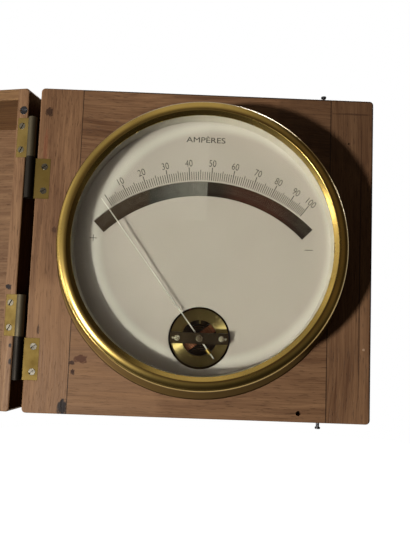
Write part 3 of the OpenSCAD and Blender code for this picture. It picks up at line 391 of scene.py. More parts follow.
def edit(piece, change, **options):
    """Runs one edit-mode operator on the whole of a piece."""
    in_edit(piece)
    change(**options)
    bpy.ops.object.mode_set(mode="OBJECT")


def modify(piece, kind, **settings):
    """Adds a modifier to a piece and applies it."""
    activate(piece)
    step = piece.modifiers.new(kind.lower(), kind)
    for name, value in settings.items():
        setattr(step, name, value)
    bpy.ops.object.modifier_apply(modifier=step.name)


def smooth(piece, degrees):
    activate(piece)
    bpy.ops.object.shade_smooth_by_angle(angle=math.radians(degrees))


def new_piece(name, primitive, **options):
    """A new object, made by one of Blender's own add operators."""
    bpy.ops.object.select_all(action="DESELECT")
    primitive(**options)
    piece = bpy.context.object
    piece.name = name
    return piece


def linked(name, data):
    """A new object that holds some data, in the scene."""
    made = bpy.data.objects.new(name, data)
    bpy.context.scene.collection.objects.link(made)
    return made


def set_into_place(piece, matrix):
    """Applies a place to a mesh, so that its object stays at the origin."""
    piece.matrix_world = matrix
    activate(piece)
    bpy.ops.object.transform_apply(location=True, rotation=True, scale=True)


def join(pieces, name):
    bpy.ops.object.select_all(action="DESELECT")
    for piece in pieces:
        piece.select_set(True)
    bpy.context.view_layer.objects.active = pieces[0]
    bpy.ops.object.join()
    pieces[0].name = name
    pieces[0].data.name = name
    return pieces[0]


def paint_with(piece, material):
    piece.data.materials.clear()
    piece.data.materials.append(material)


def stand_for(node, piece, material):
    """Finishes a piece for a node: it takes the finish, rides on the node's body, and the node is hidden."""
    paint_with(piece, material)
    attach(piece, body_of(frame["nodes"][node])[0])
    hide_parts(node)
    return piece


def copy_of(node, name):
    """A welded copy of a node's solids, without a finish."""
    piece = linked(name, frame["nodes"][node].data.copy())
    piece.data.materials.clear()
    edit(piece, bpy.ops.mesh.remove_doubles, threshold=COPY_WELD)
    return piece


def pick_edges(piece, wanted):
    """Selects the edges whose two ends are wanted, in edit mode."""
    in_edit(piece, "EDGE")
    bpy.ops.mesh.select_all(action="DESELECT")
    bpy.ops.object.mode_set(mode="OBJECT")
    points = piece.data.vertices
    chosen = [edge for edge in piece.data.edges if wanted(*(points[i].co for i in edge.vertices))]
    if not chosen:
        raise RuntimeError(f"{piece.name} has no such edge")
    for edge in chosen:
        edge.select = True
    bpy.ops.object.mode_set(mode="EDIT")


def rounded_block(name, nodes, turn):
    """A block with round corners round a box of boards that stands turned about Z, to trim them with."""
    spin = Matrix.Rotation(-turn, 3, "Z")
    points = [spin @ v.co for node in nodes for v in frame["nodes"][node].data.vertices]
    slack = Vector((1, 1, 1)) * 0.004 * MM
    low = Vector(min(p[i] for p in points) for i in range(3)) - slack
    high = Vector(max(p[i] for p in points) for i in range(3)) + slack
    block = new_piece(name, bpy.ops.mesh.primitive_cube_add, size=1)
    set_into_place(block, Matrix.Translation((low + high) / 2) @ Matrix.Diagonal((*(high - low), 1)))
    near = 1e-6
    for radius, segments, wanted in (
            (sizes().corner, 8, lambda a, b: abs(a.x - b.x) < near and abs(a.z - b.z) < near),
            (sizes().arris, 4, lambda a, b: abs(a.y - b.y) < near)):
        pick_edges(block, wanted)
        bpy.ops.mesh.bevel(offset=radius, offset_type="OFFSET", segments=segments, profile=0.5,
                           affect="EDGES")
        bpy.ops.object.mode_set(mode="OBJECT")
    set_into_place(block, Matrix.Rotation(turn, 4, "Z"))
    return block


def board(node, name, material, block):
    """A board copied from its solid and trimmed to the rounded block of the box that it belongs to."""
    piece = copy_of(node, name)
    modify(piece, "BOOLEAN", operation="INTERSECT", solver="EXACT", object=block)
    if len(piece.data.polygons) < 6:
        raise RuntimeError(f"{name} was lost when it was trimmed")
    edit(piece, bpy.ops.mesh.remove_doubles, threshold=TRIM_WELD)
    # The cut leaves needle-thin triangles on the flat faces, which would show as dark lines
    edit(piece, bpy.ops.mesh.dissolve_limited, angle_limit=LEVEL)
    smooth(piece, 30)
    # Flat faces stay level up to the rounded arrises
    modify(piece, "WEIGHTED_NORMAL", keep_sharp=True)
    return stand_for(node, piece, material)


def metal_copy(node, name, material, width=None, segments=2):
    """A metal part copied from its solids, all its sharp edges eased by a bevel."""
    piece = copy_of(node, name)
    edit(piece, bpy.ops.mesh.dissolve_limited, angle_limit=LEVEL)
    modify(piece, "BEVEL", width=width or sizes().fine_edge, segments=segments, limit_method="ANGLE",
           angle_limit=SHARP)
    smooth(piece, 16)
    return stand_for(node, piece, material)


def spun_ring(name, profile):
    """A closed profile of (radius, height over the panel) in mm, spun round the drum's axis."""
    piece = new_piece(name, bpy.ops.mesh.primitive_circle_add, vertices=len(profile), fill_type="NOTHING")
    for vertex, (radius, height) in zip(piece.data.vertices, profile):
        vertex.co = (radius * MM, PANEL_FACE - height * MM, 0)
    in_edit(piece)
    bpy.ops.mesh.spin(steps=sizes().ring_steps, angle=2 * math.pi, center=(0, 0, 0), axis=(0, 1, 0))
    bpy.ops.mesh.select_all(action="SELECT")
    bpy.ops.mesh.remove_doubles(threshold=SPIN_WELD)
    bpy.ops.mesh.delete_loose()
    bpy.ops.mesh.select_all(action="SELECT")
    bpy.ops.mesh.normals_make_consistent(inside=False)
    bpy.ops.object.mode_set(mode="OBJECT")
    smooth(piece, 40)
    return piece


def arc(centre, radius, start, end, count):
    """Points on an arc of a profile, angles in degrees from outwards towards the front."""
    steps = [math.radians(start + (end - start) * i / (count - 1)) for i in range(count)]
    return [(centre[0] + radius * math.cos(a), centre[1] + radius * math.sin(a)) for a in steps]


def over_panel(node):
    """Heights in mm over the panel of a node's front and back, and its outer radius in mm."""
    low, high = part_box(node)
    return (PANEL_FACE - low.y) / MM, (PANEL_FACE - high.y) / MM, high.x / MM


# Marks on the boards, each with its middle, half sizes in metres, colour and strength: stains and scars of
# age, painted light on low corners, darker upper corners, and dark arrises that are partly painted shade

def on_panel(*rows):
    """Marks at places (x, z) on the panel's face."""
    return [((x, PANEL_FACE, z), half, ink, strength) for x, z, half, ink, strength in rows]


# A dark line along the top arris: partly grime, partly painted shade of the edge turned from the lamp
DARK_TOP = (0.0, PANEL_TOP, (0.5, 0.004, 0.0011), "#120b07", 0.85)
PANEL_MARKS = on_panel(
    # Painted light on the low corner, brown stain and two drops beside it
    (-0.06, -0.09, (0.05, 0.02, 0.05), "#b08a68", 0.25),
    (-0.0693, -0.0659, (0.0042, 0.01, 0.0026), "#4e2a1c", 0.85),
    (-0.0745, -0.0682, (0.0019, 0.01, 0.0013), "#35201c", 0.9),
    (-0.0737, -0.0736, (0.0013, 0.01, 0.0018), "#35201c", 0.9),
    # Line under the top, dark arris partly grime and partly painted shade, darker upper corner, and the seams
    # to the cleats
    (0.0, 0.0885, (0.5, 0.01, 0.0004), "#3a2317", 0.3),
    DARK_TOP,
    (0.074, 0.088, (0.03, 0.02, 0.03), "#3f2a1c", 0.4),
    (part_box("cleat_left")[1].x, 0, (0.0007, 0.01, 0.5), "#22140d", 0.8),
    (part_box("cleat_right")[0].x, 0, (0.0007, 0.01, 0.5), "#22140d", 0.8),
)
LEFT_MARKS = on_panel(
    # Painted light on the low corner, knot, ink blot at the foot, red streak and two scars
    (-0.09, -0.08, (0.04, 0.02, 0.06), "#b08a68", 0.25),
    (-0.0967, 0.0832, (0.0024, 0.01, 0.003), "#2c1a12", 0.85),
    (-0.0787, -0.0946, (0.003, 0.03, 0.0054), "#0f0d14", 0.95),
    (-0.0977, 0.061, (0.0014, 0.01, 0.0115), "#8a3a28", 0.22),
    (-0.0895, 0.0105, (0.0016, 0.01, 0.002), "#3c2519", 0.7),
    (-0.0955, -0.0495, (0.0007, 0.01, 0.003), "#2f1c14", 0.8),
)
RIGHT_MARKS = on_panel(
    # Long check in the wood, dark arrises partly grime and partly painted shade, line under the top, pale
    # chip and darker upper corner
    (0.0952, -0.002, (0.0005, 0.01, 0.088), "#2a1811", 0.75),
    DARK_TOP,
    (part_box("cleat_right")[1].x, 0, (0.0011, 0.004, 0.5), "#120b07", 0.8),
    (0.0895, 0.0894, (0.0125, 0.01, 0.0006), "#3a2317", 0.65),
    (0.0981, -0.0545, (0.0008, 0.01, 0.0008), "#b99a80", 0.8),
    (0.09, 0.085, (0.03, 0.02, 0.036), "#3f2a1c", 0.45),
)
LID_MARKS = (
    # Painted light on the low part of the wall, and three drops of ink on its rim
    ((-0.125, 0.02, -0.06), (0.04, 0.05, 0.05), "#c09a78", 0.3),
    ((-0.1155, -0.0305, -0.0249), (0.0024, 0.004, 0.0017), "#14141c", 0.95),
    ((-0.1118, -0.0308, -0.0595), (0.001, 0.004, 0.0014), "#14141c", 0.92),
    ((-0.1113, -0.0309, -0.069), (0.001, 0.004, 0.002), "#14141c", 0.92),
)


# Pieces

class BuildCase(bpy.types.Operator):
    """Front panel, sides and back of the wooden case"""
    bl_idname = "ammeter.build_case"
    bl_label = "Case"

    def execute(self, context):
        tones = (colours().walnut_light, colours().walnut_dark)
        plain = walnut("walnut_panel", tones, ALONG_X, (0.31, 0.02, 0.013), PANEL_MARKS)
        # The left cleat is drawn a tenth lighter, as painted light from the lamp's side
        left = walnut("walnut_left_cleat", tones, ALONG_Z, (0.1, 0.4, 0.22), LEFT_MARKS, shade=1.1)
        right = walnut("walnut_right_cleat", tones, ALONG_Z, (0.7, 0.2, 0.5), RIGHT_MARKS)
        rails = walnut("walnut_case_rails", tones, ALONG_X, (0.5, 0.9, 0.1), shade=0.85)
        sides = walnut("walnut_case_sides", tones, ALONG_Z, (0.8, 0.6, 0.3), shade=0.85)
        back = walnut("walnut_back", tones, ALONG_X, (0.2, 0.7, 0.9), shade=0.95)
        block = rounded_block("case_block", CASE_NODES, 0)
        board("front_board", "panel_board", plain, block)
        board("cleat_left", "panel_cleat_left", left, block)
        board("cleat_right", "panel_cleat_right", right, block)
        for node, wood in (("case_top", rails), ("case_bottom", rails),
                           ("case_left", sides), ("case_right", sides)):
            board(node, node + "_board", wood, block)
        board("back_board", "back_cover", back, block)
        bpy.data.objects.remove(block)
        return {"FINISHED"}


class BuildLid(bpy.types.Operator):
    """Walls and board of the deep lid"""
    bl_idname = "ammeter.build_lid"
    bl_label = "Lid"

    def execute(self, context):
        hue = colours()
        tones = (hue.lid_light, hue.lid_dark)
        upright = walnut("walnut_lid_sides", tones, ALONG_Z, (0.15, 0.8, 0.35), LID_MARKS)
        across = walnut("walnut_lid_rails", (hue.rail_light, hue.rail_dark), ALONG_LID, (0.6, 0.1, 0.7))
        wide = walnut("walnut_lid_board", tones, ALONG_LID, (0.9, 0.3, 0.2), shade=0.82)
        # A walnut drawn near black, for painted shade
        darkened = walnut("walnut_lid_edge", tones, ALONG_Z, (0.2, 0.5, 0.1), shade=0.24, shine=0.0)
        block = rounded_block("lid_block", LID_NODES, -LID_TURN)
        wall = board("lid_hinge_side", "lid_hinge_side_wall", upright, block)
        # The face beside the hinges is painted near black, as painted shade from the narrow gap beside the
        # case
        wall.data.materials.append(darkened)
        outward = Vector((math.cos(LID_TURN), math.sin(LID_TURN), 0))
        for face in wall.data.polygons:
            if face.normal.dot(outward) > 0.8:
                face.material_index = 1
        for node, wood in (("lid_far_side", upright), ("lid_top", across), ("lid_bottom", across)):
            board(node, node + "_wall", wood, block)
        board("lid_board", "lid_panel", wide, block)
        bpy.data.objects.remove(block)
        return {"FINISHED"}


class BuildHinges(bpy.types.Operator):
    """Hinge leaves, pins and rings with their slotted screws"""
    bl_idname = "ammeter.build_hinges"
    bl_label = "Hinges"

    def execute(self, context):
        x, y, _ = JOINTS["lid_swing"]["pos_m"]
        knuckle = 2.8 * MM
        plate = sizes().plate_edge
        sheet = brass("rolled_brass_hinges", tarnish=0.6, roughness=(0.5, 0.64), mark=0.002,
                      colour="#6b5a31", knuckle_tone=(x, y, knuckle, "#2b2928"))
        rubbed = brass("rubbed_brass_hinges", tarnish=0.5, roughness=(0.55, 0.7), mark=0.002,
                       colour="#7f6d40", knuckle_tone=(x, y, knuckle, "#5f594b"))
        toned = steel("worn_screw_steel", "#6f6a5e", roughness=(0.35, 0.5), rust=0.4)
        pale = steel("bright_screw_steel", "#928e83", roughness=(0.22, 0.3))
        dark = steel("blued_screw_steel", colours().iron)
        metal_copy("hinge_case_leaves", "case_hinge_leaves", sheet, plate)
        metal_copy("hinge_lid_leaves", "lid_hinge_leaves", rubbed, plate)
        metal_copy("hinge_rings", "knuckle_rings", sheet)
        metal_copy("hinge_pins", "knuckle_pins", pale)
        metal_copy("hinge_case_screws", "case_leaf_screws", pale)
        metal_copy("hinge_lid_screws", "lid_leaf_screws", toned)
        metal_copy("lid_rim_screw", "rim_screw", dark)
        return {"FINISHED"}


class BuildLatches(bpy.types.Operator):
    """Headed pins in the case's edges, the lid's swivel hooks and the screws of the back"""
    bl_idname = "ammeter.build_latches"
    bl_label = "Latches"

    def execute(self, context):
        dark = steel("old_pin_steel", colours().iron)
        sheet = brass("rolled_brass_hooks", tarnish=0.5, roughness=(0.25, 0.45), mark=0.002)
        metal_copy("latch_pins", "edge_pins", dark)
        metal_copy("hook_top", "upper_hook", sheet, sizes().plate_edge)
        metal_copy("hook_bottom", "lower_hook", sheet, sizes().plate_edge)
        metal_copy("hook_screws", "hook_pivot_screws", dark)
        metal_copy("back_screws", "back_cover_screws", dark)
        return {"FINISHED"}


class BuildDrum(bpy.types.Operator):
    """Brass drum with its flange, seat and screws"""
    bl_idname = "ammeter.build_drum"
    bl_label = "Drum"

    def execute(self, context):
        shell = brass("bronzed_brass_drum", tarnish=0.3, roughness=(0.45, 0.6), mark=0.006, colour="#57452a")
        dark = steel("drum_screw_steel", colours().iron)
        metal_copy("drum_body", "drum_shell", shell, sizes().plate_edge)
        metal_copy("drum_screws", "flange_screws", dark)
        metal_copy("dial_seat", "seat_ring", shell, sizes().plate_edge)
        return {"FINISHED"}


class BuildBezel(bpy.types.Operator):
    """Turned front ring: skirt, bead, rounded band and bevel"""
    bl_idname = "ammeter.build_bezel"
    bl_label = "Bezel"

    def execute(self, context):
        crest = 2.3
        lip = over_panel("bezel")[0] - crest
        skirt_in, skirt_out, bore = 75.55, 76.65, 69.55
        band_middle, band_round = 72.5, 7.0
        # Points are (radius, height over the lip) in mm
        profile = [(skirt_in, -9.8), (75.75, -10), (76.45, -10), (skirt_out, -9.8), (skirt_out, -5),
                   (skirt_out, -1.1)]
        # The bead has a steep chamfer, which shows as a pale line, and a rounded top that takes the lamp
        profile += [(77.0, -1), (77.3, -0.8), (77.4, -0.6), (77.37, -0.5), (76.72, 0.42)]
        profile += [(76.62, 0.55), (76.5, 0.66), (76.36, 0.74), (76.22, 0.78), (76.1, 0.77)]
        profile += arc((band_middle, crest - band_round), band_round, 60, 96, 20)
        profile += [(71.6, 2.13), (71.5, 2.03), (69.75, 0.62), (69.6, 0.5), (bore, 0.3)]
        profile += [(bore, 0), (72.0, 0), (skirt_in, 0), (skirt_in, -5)]
        ring = spun_ring("front_ring", [(radius, lip + height) for radius, height in profile])
        stand_for("bezel", ring, brass("turned_brass_bezel", tarnish=0.4, roughness=(0.2, 0.29), mark=0.005,
                                       relief=0.0015))
        return {"FINISHED"}


class BuildPane(bpy.types.Operator):
    """Pane, its seal and the pale ring behind it"""
    bl_idname = "ammeter.build_pane"
    bl_label = "Pane"

    def execute(self, context):
        front, back, rim = over_panel("glass")
        ease = 0.3
        rings = (0.001, 30, 60, rim - ease)
        pane = spun_ring("front_pane", [
            *((radius, front) for radius in rings), (rim, front - ease),
            (rim, back + ease), *((radius, back) for radius in reversed(rings))])
        stand_for("glass", pane, window_glass("drawn_window_glass"))
        paint_with(frame["nodes"]["glass_seal"],
                   paint("pitch_seal", linear("#4a3b2d"), mottle=0.15, roughness=0.8))
        top, foot, out = over_panel("spacer_ring")
        wall, round_in = 3.2, 0.5
        inner = out - wall
        spacer = spun_ring("dial_rim", [
            (inner, foot), (inner, foot + 3), (inner, top - round_in), (inner + 0.15, top - 0.15),
            (inner + round_in, top), (out - ease, top), (out, top - ease), (out, foot)])
        # The left part of the ring is painted darker, as painted shade from the bezel
        stand_for("spacer_ring", spacer, paint(
            "pale_ring_lacquer", colours().ring, mottle=0.04, roughness=0.42,
            tinge=(-0.0087, 0.005, 0.0605, 0.0065, "#2a241d", 0.6)))
        return {"FINISHED"}


class BuildDial(bpy.types.Operator):
    """Silvered dial and the mirror under its slot"""
    bl_idname = "ammeter.build_dial"
    bl_label = "Dial"

    def execute(self, context):
        # A paler ring on the dial, right of the middle, is painted light along the shadow's edge
        silvered = paint("silvered_dial_lacquer", colours().dial, mottle=0.035, roughness=0.5,
                         tinge=(0.0062, 0.0022, 0.0652, 0.0052, "#f4f0ea", 0.25))
        metal_copy("dial_plate", "dial_sheet", silvered, DIAL_EDGE)
        paint_with(frame["nodes"]["mirror_strip"], silvered_glass("old_silvered_mirror"))
        return {"FINISHED"}


# Angles of the scale's tens, clockwise from upright: the old scale isn't quite even
SCALE_DEGREES = (-35.7, -28.9, -21.5, -13.4, -5.6, 2.3, 9.9, 17.7, 25.0, 31.7, 37.7)
# Middles of the unit word and the polarity signs, and the signs' lengths and line width, in metres
WORD_PLACE = (-0.0004, 0.0601)
PLUS_PLACE = (-0.0601, 0.0024)
MINUS_PLACE = (0.0583, 0.0001)
PLUS_REACH = 0.004
MINUS_REACH = 0.0046
SIGN_WIDTH = 0.32 * MM
# Shares of the type's size: height of its capitals, width of the narrow figures, thinning of their strokes
CAPITALS = 0.73
NARROW = 0.79
THINNER = -0.008
# Upper face of a printed line as shares of its foot, and how much wider the marks of ten are
MARK_TOP = (0.8, 0.99)
SIGN_TOP = (0.95, 0.95)
TEN_WIDER = 1.25


def scale_angle(value):
    """Angle of a scale value, clockwise from upright, in radians."""
    step = min(int(value // 10), len(SCALE_DEGREES) - 2)
    start, end = SCALE_DEGREES[step:step + 2]
    return math.radians(start + (end - start) * (value - 10 * step) / 10)


def on_dial(x, z, turn=0.0):
    """Matrix that lays a flat print, drawn in XY, on the dial at (x, z) in metres, turned clockwise."""
    return (Matrix.Translation((x, DIAL_FACE, z)) @ Matrix.Rotation(turn, 4, "Y")
            @ Matrix.Rotation(math.pi / 2, 4, "X"))


def on_scale(radius, value):
    """Matrix that lays a flat print on the dial at a radius from the pivot and at a scale value."""
    angle = scale_angle(value)
    return on_dial(PIVOT.x + radius * math.sin(angle), PIVOT.z + radius * math.cos(angle), angle)


def ink_strip(name, wide, tall, top, place):
    """A printed line laid in its place, its upper face drawn in to a share of its width and height."""
    strip = new_piece(name, bpy.ops.mesh.primitive_plane_add, size=1)
    strip.scale = (wide, tall, 1)
    bpy.ops.object.transform_apply(location=False, rotation=False, scale=True)
    in_edit(strip, "FACE")
    bpy.ops.mesh.extrude_region_move(TRANSFORM_OT_translate={"value": (0, 0, sizes().ink)})
    bpy.ops.transform.resize(value=(*top, 1))
    bpy.ops.object.mode_set(mode="OBJECT")
    set_into_place(strip, place)
    return strip


class BuildPrint(bpy.types.Operator):
    """Printed marks and figures of the scale, unit word and polarity signs"""
    bl_idname = "ammeter.build_print"
    bl_label = "Print"

    def execute(self, context):
        size = sizes()
        ink = paint("printing_ink", colours().ink, mottle=0.2, roughness=0.7)
        marks = []
        for value in range(101):
            ten = value % 10 == 0
            top = size.tick_ten if ten else size.tick_five if value % 5 == 0 else size.tick_one
            wide = size.tick_width * (TEN_WIDER if ten else 1.0)
            place = on_scale((top + size.tick_foot) / 2, value)
            marks.append(ink_strip(f"mark_{value}", wide, top - size.tick_foot, MARK_TOP, place))
        scale = join(marks, "scale_marks")
        figures = []
        for value in range(10, 101, 10):
            figure = self.letters(str(value), size.figure_height, None, THINNER)
            set_into_place(figure, on_scale(size.figure_radius, value))
            figures.append(figure)
        word = self.letters("AMPÈRES", size.word_height, size.word_width, 0.0)
        set_into_place(word, on_dial(*WORD_PLACE))
        plus = [ink_strip("stroke", PLUS_REACH, SIGN_WIDTH, SIGN_TOP, on_dial(*PLUS_PLACE, turn))
                for turn in (0.0, math.pi / 2)]
        minus = ink_strip("minus_sign", MINUS_REACH, SIGN_WIDTH, SIGN_TOP, on_dial(*MINUS_PLACE))
        for piece in (scale, join(figures, "scale_figures"), word, join(plus, "plus_sign"), minus):
            paint_with(piece, ink)
            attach(piece, "case")
        word.name = "unit_word"
        return {"FINISHED"}

    def letters(self, body, height, width, weight):
        """Letters as a thin mesh centred on the origin, of a given height, and of a given width or narrow."""
        text = new_piece("letters", bpy.ops.object.text_add)
        text.data.body = body
        text.data.size = 1.0
        text.data.offset = weight
        text.data.extrude = 0.004
        text.data.align_x = "CENTER"
        text.data.align_y = "CENTER"
        bpy.ops.object.convert(target="MESH")
        made = bpy.context.object
        points = [v.co for v in made.data.vertices]
        low = [min(p[i] for p in points) for i in range(3)]
        high = [max(p[i] for p in points) for i in range(3)]
        # A word with an accent is measured by its capitals
        tall = height / (high[1] - low[1]) if body.isdigit() else height / CAPITALS
        wide = width / (high[0] - low[0]) if width else tall * NARROW
        move = Matrix.Translation([-(low[i] + high[i]) / 2 for i in range(2)] + [-low[2]])
        set_into_place(made, Matrix.Diagonal((wide, tall, sizes().ink / (high[2] - low[2]), 1)) @ move)
        return made


class BuildMovement(bpy.types.Operator):
    """Ring, bridge and plates of the movement, with its springs, jewels and magnet"""
    bl_idname = "ammeter.build_movement"
    bl_label = "Movement"

    def execute(self, context):
        turned = brass("lathe_turned_brass", tarnish=0.4, roughness=(0.34, 0.38), mark=0.003, relief=0.001,
                       spun=0.95, colour="#9a895a")
        milled = brass("milled_brass", tarnish=0.3, roughness=(0.36, 0.46), mark=0.004, relief=0.0005,
                       colour="#382f25")
        bright = steel("polished_screw_steel", "#d8d0b8", roughness=(0.14, 0.24), rust=0.1)
        lit = steel("rubbed_screw_steel", "#e6dfc8", roughness=(0.24, 0.3), rust=0.1)
        magnet = steel("magnet_steel", "#55585e", roughness=(0.4, 0.6), rust=0.35)
        # Near black, as painted shade deep in the movement
        iron = steel("soft_iron", "#121110", roughness=(0.35, 0.55), rust=0.3)
        bronze = brass("spring_bronze", tarnish=0.2, roughness=(0.25, 0.35), mark=0.001, colour="#3f2b1d")
        metal_copy("movement_ring", "turned_ring", turned, RING_EDGE)
        metal_copy("upper_bridge", "pivot_bridge", milled, IRON_EDGE)
        metal_copy("movement_plate", "base_plate", milled, RING_EDGE)
        metal_copy("ring_pillars", "pillars", milled)
        metal_copy("core_bracket", "core_holder", milled)
        for node, name, metal in (
                ("bridge_screws", "bridge_screw_set", lit), ("upper_jewel", "upper_jewel_screw", bright),
                ("lower_jewel", "lower_jewel_screw", bright), ("plate_screws", "plate_screw_set", bright)):
            metal_copy(node, name, metal, SCREW_EDGE, 5)
        metal_copy("magnet", "horseshoe_magnet", magnet, MAGNET_EDGE)
        for node in ("pole_left", "pole_right", "core"):
            metal_copy(node, node + "_iron", iron, IRON_EDGE)
        paint_with(frame["nodes"]["hairsprings"], bronze)
        return {"FINISHED"}


class BuildNeedle(bpy.types.Operator):
    """Needle with its hub and weight, spindle and moving coil"""
    bl_idname = "ammeter.build_needle"
    bl_label = "Needle"

    def execute(self, context):
        silver = steel("drawn_aluminium_needle", "#f0eee8", roughness=(0.35, 0.42), rust=0.0)
        spindle = steel("pivot_steel", colours().steel, roughness=(0.15, 0.3), rust=0.05)
        small = brass("turned_brass_hub", tarnish=0.3, roughness=(0.2, 0.35), mark=0.001)
        # Near black, as painted shade deep in the movement
        former = steel("former_aluminium", "#191817", roughness=(0.35, 0.5), rust=0.05)
        winding = wound_wire("enamelled_copper_wire", colours().copper)
        self.deepen(metal_copy("needle", "pointer", silver, IRON_EDGE, 3))
        metal_copy("needle_hub", "pointer_hub", small)
        metal_copy("counterweight", "tail_weight", small)
        metal_copy("spindle", "coil_spindle", spindle, SPINDLE_EDGE)
        metal_copy("coil_former", "coil_frame", former)
        metal_copy("moving_coil", "coil_winding", winding, COIL_EDGE)
        return {"FINISHED"}

    def deepen(self, pointer):
        """Draws the blade's underside towards the dial past the ring, so that it stands on edge."""
        tip = max((v.co - PIVOT for v in pointer.data.vertices), key=lambda reach: reach.xz.length)
        ahead = Vector((tip.x, 0, tip.z)).normalized()
        in_edit(pointer, "FACE")
        bpy.ops.mesh.bisect(plane_co=PIVOT + BLADE_START * ahead, plane_no=ahead)
        bpy.ops.mesh.select_all(action="DESELECT")
        bpy.ops.object.mode_set(mode="OBJECT")
        under = [face for face in pointer.data.polygons
                 if face.normal.y > 0.9 and (face.center - PIVOT).dot(ahead) > BLADE_START]
        if not under:
            raise RuntimeError("the pointer has no underside to deepen")
        for face in under:
            face.select = True
        bpy.ops.object.mode_set(mode="EDIT")
        bpy.ops.transform.translate(value=(0, BLADE_DEPTH, 0))
        bpy.ops.object.mode_set(mode="OBJECT")


class BuildTerminals(bpy.types.Operator):
    """Terminal studs with their bushes, washers, nuts and inner leads"""
    bl_idname = "ammeter.build_terminals"
    bl_label = "Terminals"

    def execute(self, context):
        metal = brass("terminal_brass", tarnish=0.4, roughness=(0.22, 0.4), mark=0.002)
        ebonite = paint("black_ebonite", linear("#1d1916"), mottle=0.2, roughness=0.45)
        cotton = paint("cotton_covered_wire", linear("#6b2f22"), grain=0.0003, mottle=0.25, roughness=0.85,
                       relief=0.05)
        for node, name, stuff in (
                ("terminal_studs", "stud_pair", metal), ("terminal_washers", "washer_pair", metal),
                ("terminal_nuts", "nut_pair", metal), ("terminal_bushes", "bush_pair", ebonite)):
            metal_copy(node, name, stuff, TERMINAL_EDGE)
        paint_with(frame["nodes"]["leads"], cotton)
        return {"FINISHED"}


# The photograph's view: the frame's height and the focal length in pixels, and the camera's place and turn
FRAME_HIGH = 547
FOCAL_LENGTH = 540
VIEW_PLACE = (-0.00115, -0.35476, -0.03944)
VIEW_RIGHT = Vector((0.99923, -0.01316, 0.03698))
VIEW_UP = Vector((-0.03794, -0.08287, 0.99584))
VIEW_AHEAD = Vector((0.01004, 0.99647, 0.08331))

# The room in front: its darkest tone, and those laid over it in turn. Each has the spans that give its share:
# how a span joins those before it, its axis, and where along that axis it starts and is full.
ROOM_DARK = (0.073, 0.05, 0.036)
ROOM_TONES = (
    # Right of the camera, and a red patch there
    ((0.034, 0.025, 0.02), [("MAXIMUM", "X", -0.02, 0.01)]),
    ((0.078, 0.034, 0.024), [("MAXIMUM", "X", 0.025, 0.07), ("MULTIPLY", "X", 0.19, 0.12)]),
    # Half lit to the sides and below
    ((0.17, 0.125, 0.08), [("MAXIMUM", "X", 0.22, 0.36), ("MAXIMUM", "X", -0.26, -0.4),
                           ("MAXIMUM", "Z", -0.08, -0.25), ("MULTIPLY", "Y", -0.45, -0.7)]),
    # Lit ceiling, left wall and its brighter end
    ((0.72, 0.65, 0.54), [("MAXIMUM", "Z", 0.36, 0.8), ("MULTIPLY", "X", 0.5, 0.1)]),
    ((0.5, 0.46, 0.4), [("MAXIMUM", "X", -0.36, -0.66)]),
    ((1.3, 1.2, 1.0), [("MAXIMUM", "X", -0.72, -0.93)]),
)
ROOM_BEHIND = (0.6, 0.56, 0.5)
# A small window far to the left, which glints on the bezel: its direction, and the cosines of its rim
WINDOW_WAY = (-0.868, -0.473, -0.151)
WINDOW_RIM = (0.9965, 0.9982)
WINDOW_TONE = (20, 19, 17.5)
# Share of the room's light that falls on matt surfaces
ROOM_SHARE = (0.3, 0.3, 0.3)


